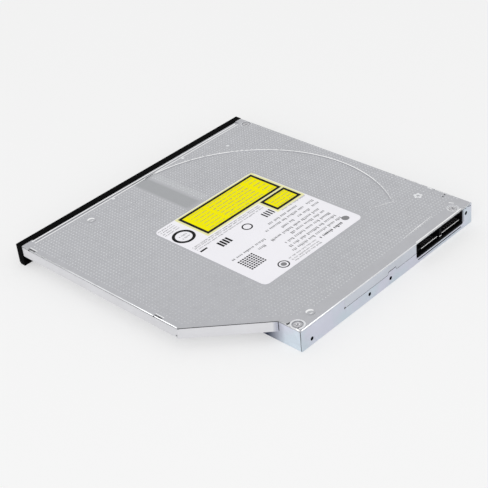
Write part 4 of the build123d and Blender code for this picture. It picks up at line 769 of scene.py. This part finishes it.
# Each ring's middle, its outline as radius and height over the cover's top, its sides, and its lobes and their swell
raised_rings = [(-56.0, 105.9, ((2.0, -0.05), (1.5, 0.07), (0.8, 0.09), (0.6, -0.05)), 40, 5, 0.16),
                (36.8, 122.5, ((3.0, -0.04), (2.8, 0.05), (2.3, 0.05), (2.18, -0.04)), 48),
                (-56.2, 122.7, seat_ring, 48), (-61.4, 5.8, seat_ring, 48),
                (-56.2, 122.7, ((2.18, -0.24), (2.12, -0.1), (1.72, -0.1), (1.66, -0.24)), 48)]
for x, y, outline, *shape in raised_rings:
    pressings.append(looped_rings(turned(x, y, [(radius, top + height) for radius, height in outline], *shape)))
trim("bright_pressings", pressings, edge_highlight_steel, smooth=True)


# Screws of the cover: a head with a cross recess over a plain shank
screw_foot, screw_top = [corner.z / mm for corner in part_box("cover_screws")]
screw_places = ((36.8, 122.5, 0.5), (-56.2, 122.7, 1.1), (-61.4, 5.8, 0.2))
arm_half_width, arm_length, recess_depth = 0.31, 1.05, 0.6


def cross_screw(x, y, turn, sides=48):
    """Rings of a screw about its axis: shank, head, and a face whose height drops by the recess's depth where the
    smaller of the two distances to the cross's arms is under their half width and the larger is under their length."""
    head_foot = screw_foot + 0.9
    outline = [(0.8, screw_foot), (0.8, head_foot), (1.6, head_foot), (1.6, screw_top - 0.12), (1.5, screw_top - 0.01)]
    face = [(r, screw_top) for r in (1.3, 1.1, 1.0, 0.92, 0.78, 0.64, 0.5, 0.4, 0.3, 0.2, 0.1)]
    rings = turned(0.0, -front / mm, outline + face, sides) / mm
    flat_x, flat_y = rings[..., 0], rings[..., 1]
    across = np.abs(flat_x), np.abs(flat_y)
    arms = (np.clip((arm_half_width - np.minimum(*across)) / 0.06, 0, 1)
            * np.clip((arm_length - np.maximum(*across)) / 0.1, 0, 1))
    rings[len(outline):, :, 2] -= recess_depth * arms[len(outline):]
    c, s = math.cos(turn), math.sin(turn)
    return np.stack([x + c * flat_x - s * flat_y, front / mm + y + s * flat_x + c * flat_y, rings[..., 2]], -1) * mm


screws = trim("cross_recess_screws", [closed_rings(cross_screw(*place)) for place in screw_places], screw_metal,
              smooth=True)
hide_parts("cover_screws")


# Lead screw of the pickup's feed: a shaft with a helical groove
def grooved_shaft(lo, hi, crest, groove, pitch, core, plain_ends, around=20):
    """Rings along Y about the axis of a shaft between two corners in mm: the radius is crest less groove where the
    phase, place over pitch less angle over a full turn, lies in the groove's part of the pitch, and core over the
    plain length at each end."""
    place = np.arange(lo.y, hi.y, pitch / 16)[:, None]
    angle = np.arange(around) * 2 * math.pi / around
    phase = (place / pitch - angle / (2 * math.pi)) % 1.0
    radius = crest - groove * np.clip(np.cos(phase * 2 * math.pi) * 1.6, 0, 1)
    plain = (place < lo.y + plain_ends[0]) | (place > hi.y - plain_ends[1])
    radius = np.where(plain, core, radius)
    middle = (lo + hi) / 2
    return np.stack([middle.x + radius * np.sin(angle), np.broadcast_to(place, radius.shape),
                     middle.z + radius * np.cos(angle)], -1) * mm


shaft_ends = [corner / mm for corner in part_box("lead_screw")]
shaft_rings = grooved_shaft(*shaft_ends, crest=0.9, groove=0.32, pitch=3.0, core=0.5, plain_ends=(1.2, 3.6))
shaft = make_piece("grooved_lead_screw", *closed_rings(shaft_rings), rod_metal, "feed_screw", "rail_steel")
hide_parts("lead_screw")

# Objective lenses: clear domes in their holder
lens_lo, lens_hi = [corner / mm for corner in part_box("objective_lenses")]
lens_radius = (lens_hi.y - lens_lo.y) / 2
lens_middle = (lens_lo.y + lens_hi.y) / 2 - front / mm
lens_dome, lens_bevel, lens_rim = 0.4, 0.25, 0.42
lens_outline = [(lens_radius, lens_lo.z), (lens_radius, lens_hi.z - lens_rim)]
lens_outline += [(r, lens_hi.z - lens_dome * (r / (lens_radius - lens_bevel)) ** 2)
                 for r in np.linspace(lens_radius - lens_bevel, 0.1, 9)]
lens_places = (lens_lo.x + lens_radius, lens_hi.x - lens_radius)
lenses = make_piece("domed_lenses",
                    *join([closed_rings(turned(x, lens_middle, lens_outline, 40)) for x in lens_places]),
                    lens_glass, "lens", "lens_glass")
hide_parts("objective_lenses")


# Print on the label: fields of colour, frames, rings and rows of fine ticks, counted from the label's corner
print_lift = 0.012 * mm
print_sink = 0.01 * mm


def slabs(boxes, layer=0):
    """Points and faces of thin bars (x0, x1, y0, y1) in mm from the label's lower left corner, one layer thick."""
    boxes = np.array(boxes, float) * mm + np.array([label_lo.x, label_lo.x, label_lo.y, label_lo.y])
    x0, x1, y0, y1 = boxes.T
    low = np.full(len(boxes), label_hi.z - print_sink)
    high = np.full(len(boxes), label_hi.z + print_lift * (layer + 1))
    points = np.stack([np.stack([x, y, z], -1) for z in (low, high)
                       for x, y in ((x0, y0), (x1, y0), (x1, y1), (x0, y1))], 1)
    sides = np.array([[0, 3, 2, 1], [4, 5, 6, 7], [0, 1, 5, 4], [1, 2, 6, 5], [2, 3, 7, 6], [3, 0, 4, 7]])
    faces = (sides + (np.arange(len(boxes)) * 8)[:, None, None]).reshape(-1, 4)
    return points, faces.tolist()


def ticks(x0, x1, y, height, pitch):
    """A row of fine upright ticks of a few heights, grouped at random into runs with gaps between."""
    bars = []
    x = x0
    while x < x1:
        run = min(x + pitch * rng.integers(3, 9), x1)
        while x < run - pitch * 0.5:
            tall = height * rng.choice([0.68, 0.68, 0.72, 1.0])
            bars.append((x, x + pitch * rng.uniform(0.42, 0.66), y - height / 2, y - height / 2 + tall))
            x += pitch
        x += pitch * 0.9
    return bars


def rows(spans, pitch):
    """Rows of ticks: each span gives a start, an end, a height and the middle of each of its rows."""
    return [bar for x0, x1, height, *middles in spans for y in middles for bar in ticks(x0, x1, y, height, pitch)]


def printed(name, mesh, ink):
    """A layer of print on the label."""
    make_piece(name, *mesh, ink, "case", "label_film", smooth=False)


def frame_bars(x0, x1, y0, y1, width):
    """Four bars that frame a box on its inside."""
    return [(x0, x1, y0, y0 + width), (x0, x1, y1 - width, y1),
            (x0, x0 + width, y0 + width, y1 - width), (x1 - width, x1, y0 + width, y1 - width)]


def ring_points(x, y, outer, inner):
    """A flat ring's four loops: outer foot, outer top, inner top and inner foot, in mm from the label's corner."""
    low, high = (label_hi.z - print_sink) / mm, (label_hi.z + print_lift) / mm
    profile = [(outer, low), (outer, high), (inner, high), (inner, low)]
    return turned(x + label_lo.x / mm, y + (label_lo.y - front) / mm, profile, 48)


panel_large = (1.5, 44.8, 1.1, 18.4)
panel_small = (1.3, 15.7, 19.5, 29.3)
panel_border = 1.25
halo = 1.1
label_rim = 0.3
halos = [(label_rim, panel_large[1] + halo, label_rim, panel_large[3] + halo),
         (label_rim, panel_small[1] + halo, panel_large[3] + halo, panel_small[3] + halo)]
pale_yellow = printing_ink("ink_pale_yellow", (0.86, 0.84, 0.42))
yellow = printing_ink("ink_yellow", (0.96, 0.88, 0.002), 0.6, Specular_IOR_Level=0.02)
black = printing_ink("ink_black", (0.006, 0.006, 0.007), Specular_IOR_Level=0.08)
dark_grey = printing_ink("ink_dark_grey", (0.22, 0.22, 0.23))
grey = printing_ink("ink_grey", (0.30, 0.30, 0.31))
olive = printing_ink("ink_olive", (0.42, 0.38, 0.12))

panels = [panel_large, panel_small]
printed("label_pale_fields", slabs(halos), pale_yellow)
printed("label_yellow_fields", slabs(panels, 1), yellow)
printed("label_black_frames", slabs([bar for panel in panels for bar in frame_bars(*panel, panel_border)], 2), black)

# Faint rows inside the coloured fields
field_rows = rows([(3.7, 8.0, 0.9, *np.arange(3.6, 16.4, 2.55))], 0.55)
for y in np.arange(3.4, 16.6, 2.1):
    field_rows += ticks(10.3, 31.0, y, 0.9, 0.55) + ticks(32.6, 41.5, y, 0.7, 0.5)
field_rows += rows([(3.2, 13.6, 0.8, *np.arange(21.6, 27.8, 1.9))], 0.5)
printed("label_field_rows", slabs(field_rows, 2), olive)

# Dark and fine rows of the label: start, end, height and middles
dark_rows = [(5.3, 34.4, 1.5, 53.6), (5.5, 32.8, 1.5, 50.8), (5.5, 31.9, 1.5, 47.9), (5.5, 25.7, 1.5, 45.1),
             (5.7, 34.4, 1.5, 42.4), (37.5, 41.9, 1.5, 42.4), (7.8, 15.0, 1.5, 39.4), (17.5, 24.8, 1.5, 39.4),
             (34.4, 53.2, 1.3, 39.4), (8.0, 30.3, 1.5, 36.3), (9.1, 25.7, 1.5, 33.6)]
fine_rows = [(17.9, 55.7, 0.8, 23.2, 21.8, 20.7), (23.4, 39.4, 0.8, 58.8, 57.5, 55.9), (1.2, 14.9, 0.8, 30.9),
             (48.4, 56.2, 0.7, 5.7, 4.3, 2.9, 1.5)]
dark_bars = rows(dark_rows, 0.82)
fine_bars = rows(fine_rows, 0.5)
title_bars = ticks(8.1, 21.2, 56.6, 1.7, 0.85)
left_marks = rows([(1.9, 5.6, 1.5, 36.0, 39.0)], 0.8)
ring_rows = rows([(49.6, 54.0, 0.9, 12.9, 11.0)], 0.6)
steps = 1.2 * np.arange(7)
square_field = [(44.6 + x, 45.4 + x, 41.6 + y, 42.4 + y) for x in steps for y in steps]
thick_marks = [(start + pitch * i, start + pitch * i + width, 25.8, end)
               for start, pitch, width, end in ((42.4, 1.5, 1.0, 29.8), (17.4, 1.4, 0.7, 29.6)) for i in range(4)]
edge_bar = (52.0, 55.7, 24.5, 25.4)
ring_shapes = ((51.8, 11.7, 4.8, 3.5), (42.9, 56.7, 2.4, 1.9), (32.0, 27.6, 2.3, 1.7))
spots = ((4.7, 55.4, 1.6), (42.9, 56.7, 1.2))
printed("label_dark_print", join([slabs(title_bars + square_field + [edge_bar] + thick_marks)]
                                 + [looped_rings(ring_points(*shape)) for shape in ring_shapes]), black)
printed("label_row_print", slabs(dark_bars + left_marks), dark_grey)
printed("label_fine_print", slabs(fine_bars + ring_rows), grey)
printed("label_grey_spots", join([closed_rings(ring_points(x, y, radius, 0.0)[:2])
                                  for x, y, radius in spots]), dark_grey)


# Stage, light and camera
backdrop = 0.88
floor_tone = 0.5
floor_glow = 0.44


def shown_background(world_light):
    """World that lights evenly, and that the camera, gloss and glass see as the pale backdrop."""
    world = bpy.data.worlds.new("studio")
    world.use_nodes = True
    sky = Finish.of(world)
    light = sky.tree.nodes["Background"]
    light.inputs["Color"].default_value = (1.0, 1.0, 1.0, 1.0)
    light.inputs["Strength"].default_value = world_light
    seen = sky.node("Background", Color=(backdrop, backdrop, backdrop, 1.0))
    path = sky.node("LightPath").outputs
    shown = sky.maths("MAXIMUM", path["Is Camera Ray"], path["Is Glossy Ray"])
    shown = sky.maths("MAXIMUM", shown, path["Is Transmission Ray"])
    mix = sky.node("MixShader", _0=shown, _1=light.outputs[0], _2=seen.outputs[0])
    sky.tree.links.new(mix.outputs[0], sky.tree.nodes["World Output"].inputs["Surface"])
    bpy.context.scene.world = world


def soft_lamp(name, direction, reach, size, power):
    """A square area lamp at a distance along a direction from the case's middle, aimed at it."""
    data = bpy.data.lights.new(name, "AREA")
    data.shape = "SQUARE"
    data.size = size
    data.energy = power
    lamp = placed(name, data)
    towards = Vector(direction).normalized()
    aim = towards.to_track_quat("Z", "Y").to_matrix().to_4x4()
    lamp.matrix_world = Matrix.Translation(case_middle + towards * reach) @ aim


def floor_disc(radius, sides=96):
    """A flat round floor just below the case: a ring of points at even angles and a middle point."""
    ring = turned(0.0, -front / mm, [(radius / mm, 0.0)], sides)[0]
    points = np.concatenate([ring, np.zeros((1, 3))])
    j = np.arange(sides)
    faces = np.stack([j, (j + 1) % sides, np.full(sides, sides)], -1)
    mesh = bpy.data.meshes.new("floor")
    mesh.from_pydata(points.tolist(), [], faces.tolist())
    floor = placed("floor", mesh)
    paint = Finish("floor_paint", (floor_tone, floor_tone, floor_tone), 0.9, Specular_IOR_Level=0.0)
    paint.shader.inputs["Emission Color"].default_value = (1.0, 1.0, 1.0, 1.0)
    path = paint.node("LightPath")
    seen = paint.maths("MAXIMUM", path.outputs["Is Camera Ray"], path.outputs["Is Glossy Ray"])
    paint.feed("Emission Strength", paint.product(seen, floor_glow))
    mesh.materials.append(paint.material)


camera_azimuth = math.radians(136.64)
camera_elevation = math.radians(33.53)
camera_roll = math.radians(-6.25)
camera_distance = 494.73 * mm
camera_offset = (1.16 * mm, 3.93 * mm)
photo_focal_length = 1237.88
photo_width = 488
sensor_width = 36.0


def photo_camera():
    """The photograph's camera: azimuth and elevation turned into three axes, then rolled about the view."""
    level = Vector((math.cos(camera_azimuth), math.sin(camera_azimuth), 0.0))
    outward = Vector((math.sin(camera_azimuth), -math.cos(camera_azimuth), 0.0))
    back = outward * math.cos(camera_elevation) + Vector((0.0, 0.0, math.sin(camera_elevation)))
    up = back.cross(level)
    right = level * math.cos(camera_roll) + up * math.sin(camera_roll)
    above = up * math.cos(camera_roll) - level * math.sin(camera_roll)
    place = case_middle - right * camera_offset[0] - above * camera_offset[1] + back * camera_distance
    data = bpy.data.cameras.new("camera")
    data.sensor_width = sensor_width
    data.lens = photo_focal_length / photo_width * sensor_width
    data.clip_start = 0.01
    data.clip_end = 20.0
    camera = placed("camera", data)
    axes = Matrix((right, above, back)).transposed().to_4x4()
    camera.matrix_world = Matrix.Translation(place) @ axes
    bpy.context.scene.camera = camera


shown_background(world_light=0.8)
soft_lamp("window_lamp", direction=(0.95, 0.66, 0.58), reach=1.6, size=1.2, power=9.0)
floor_disc(radius=3.0)
photo_camera()
bpy.context.scene.view_settings.view_transform = "Standard"
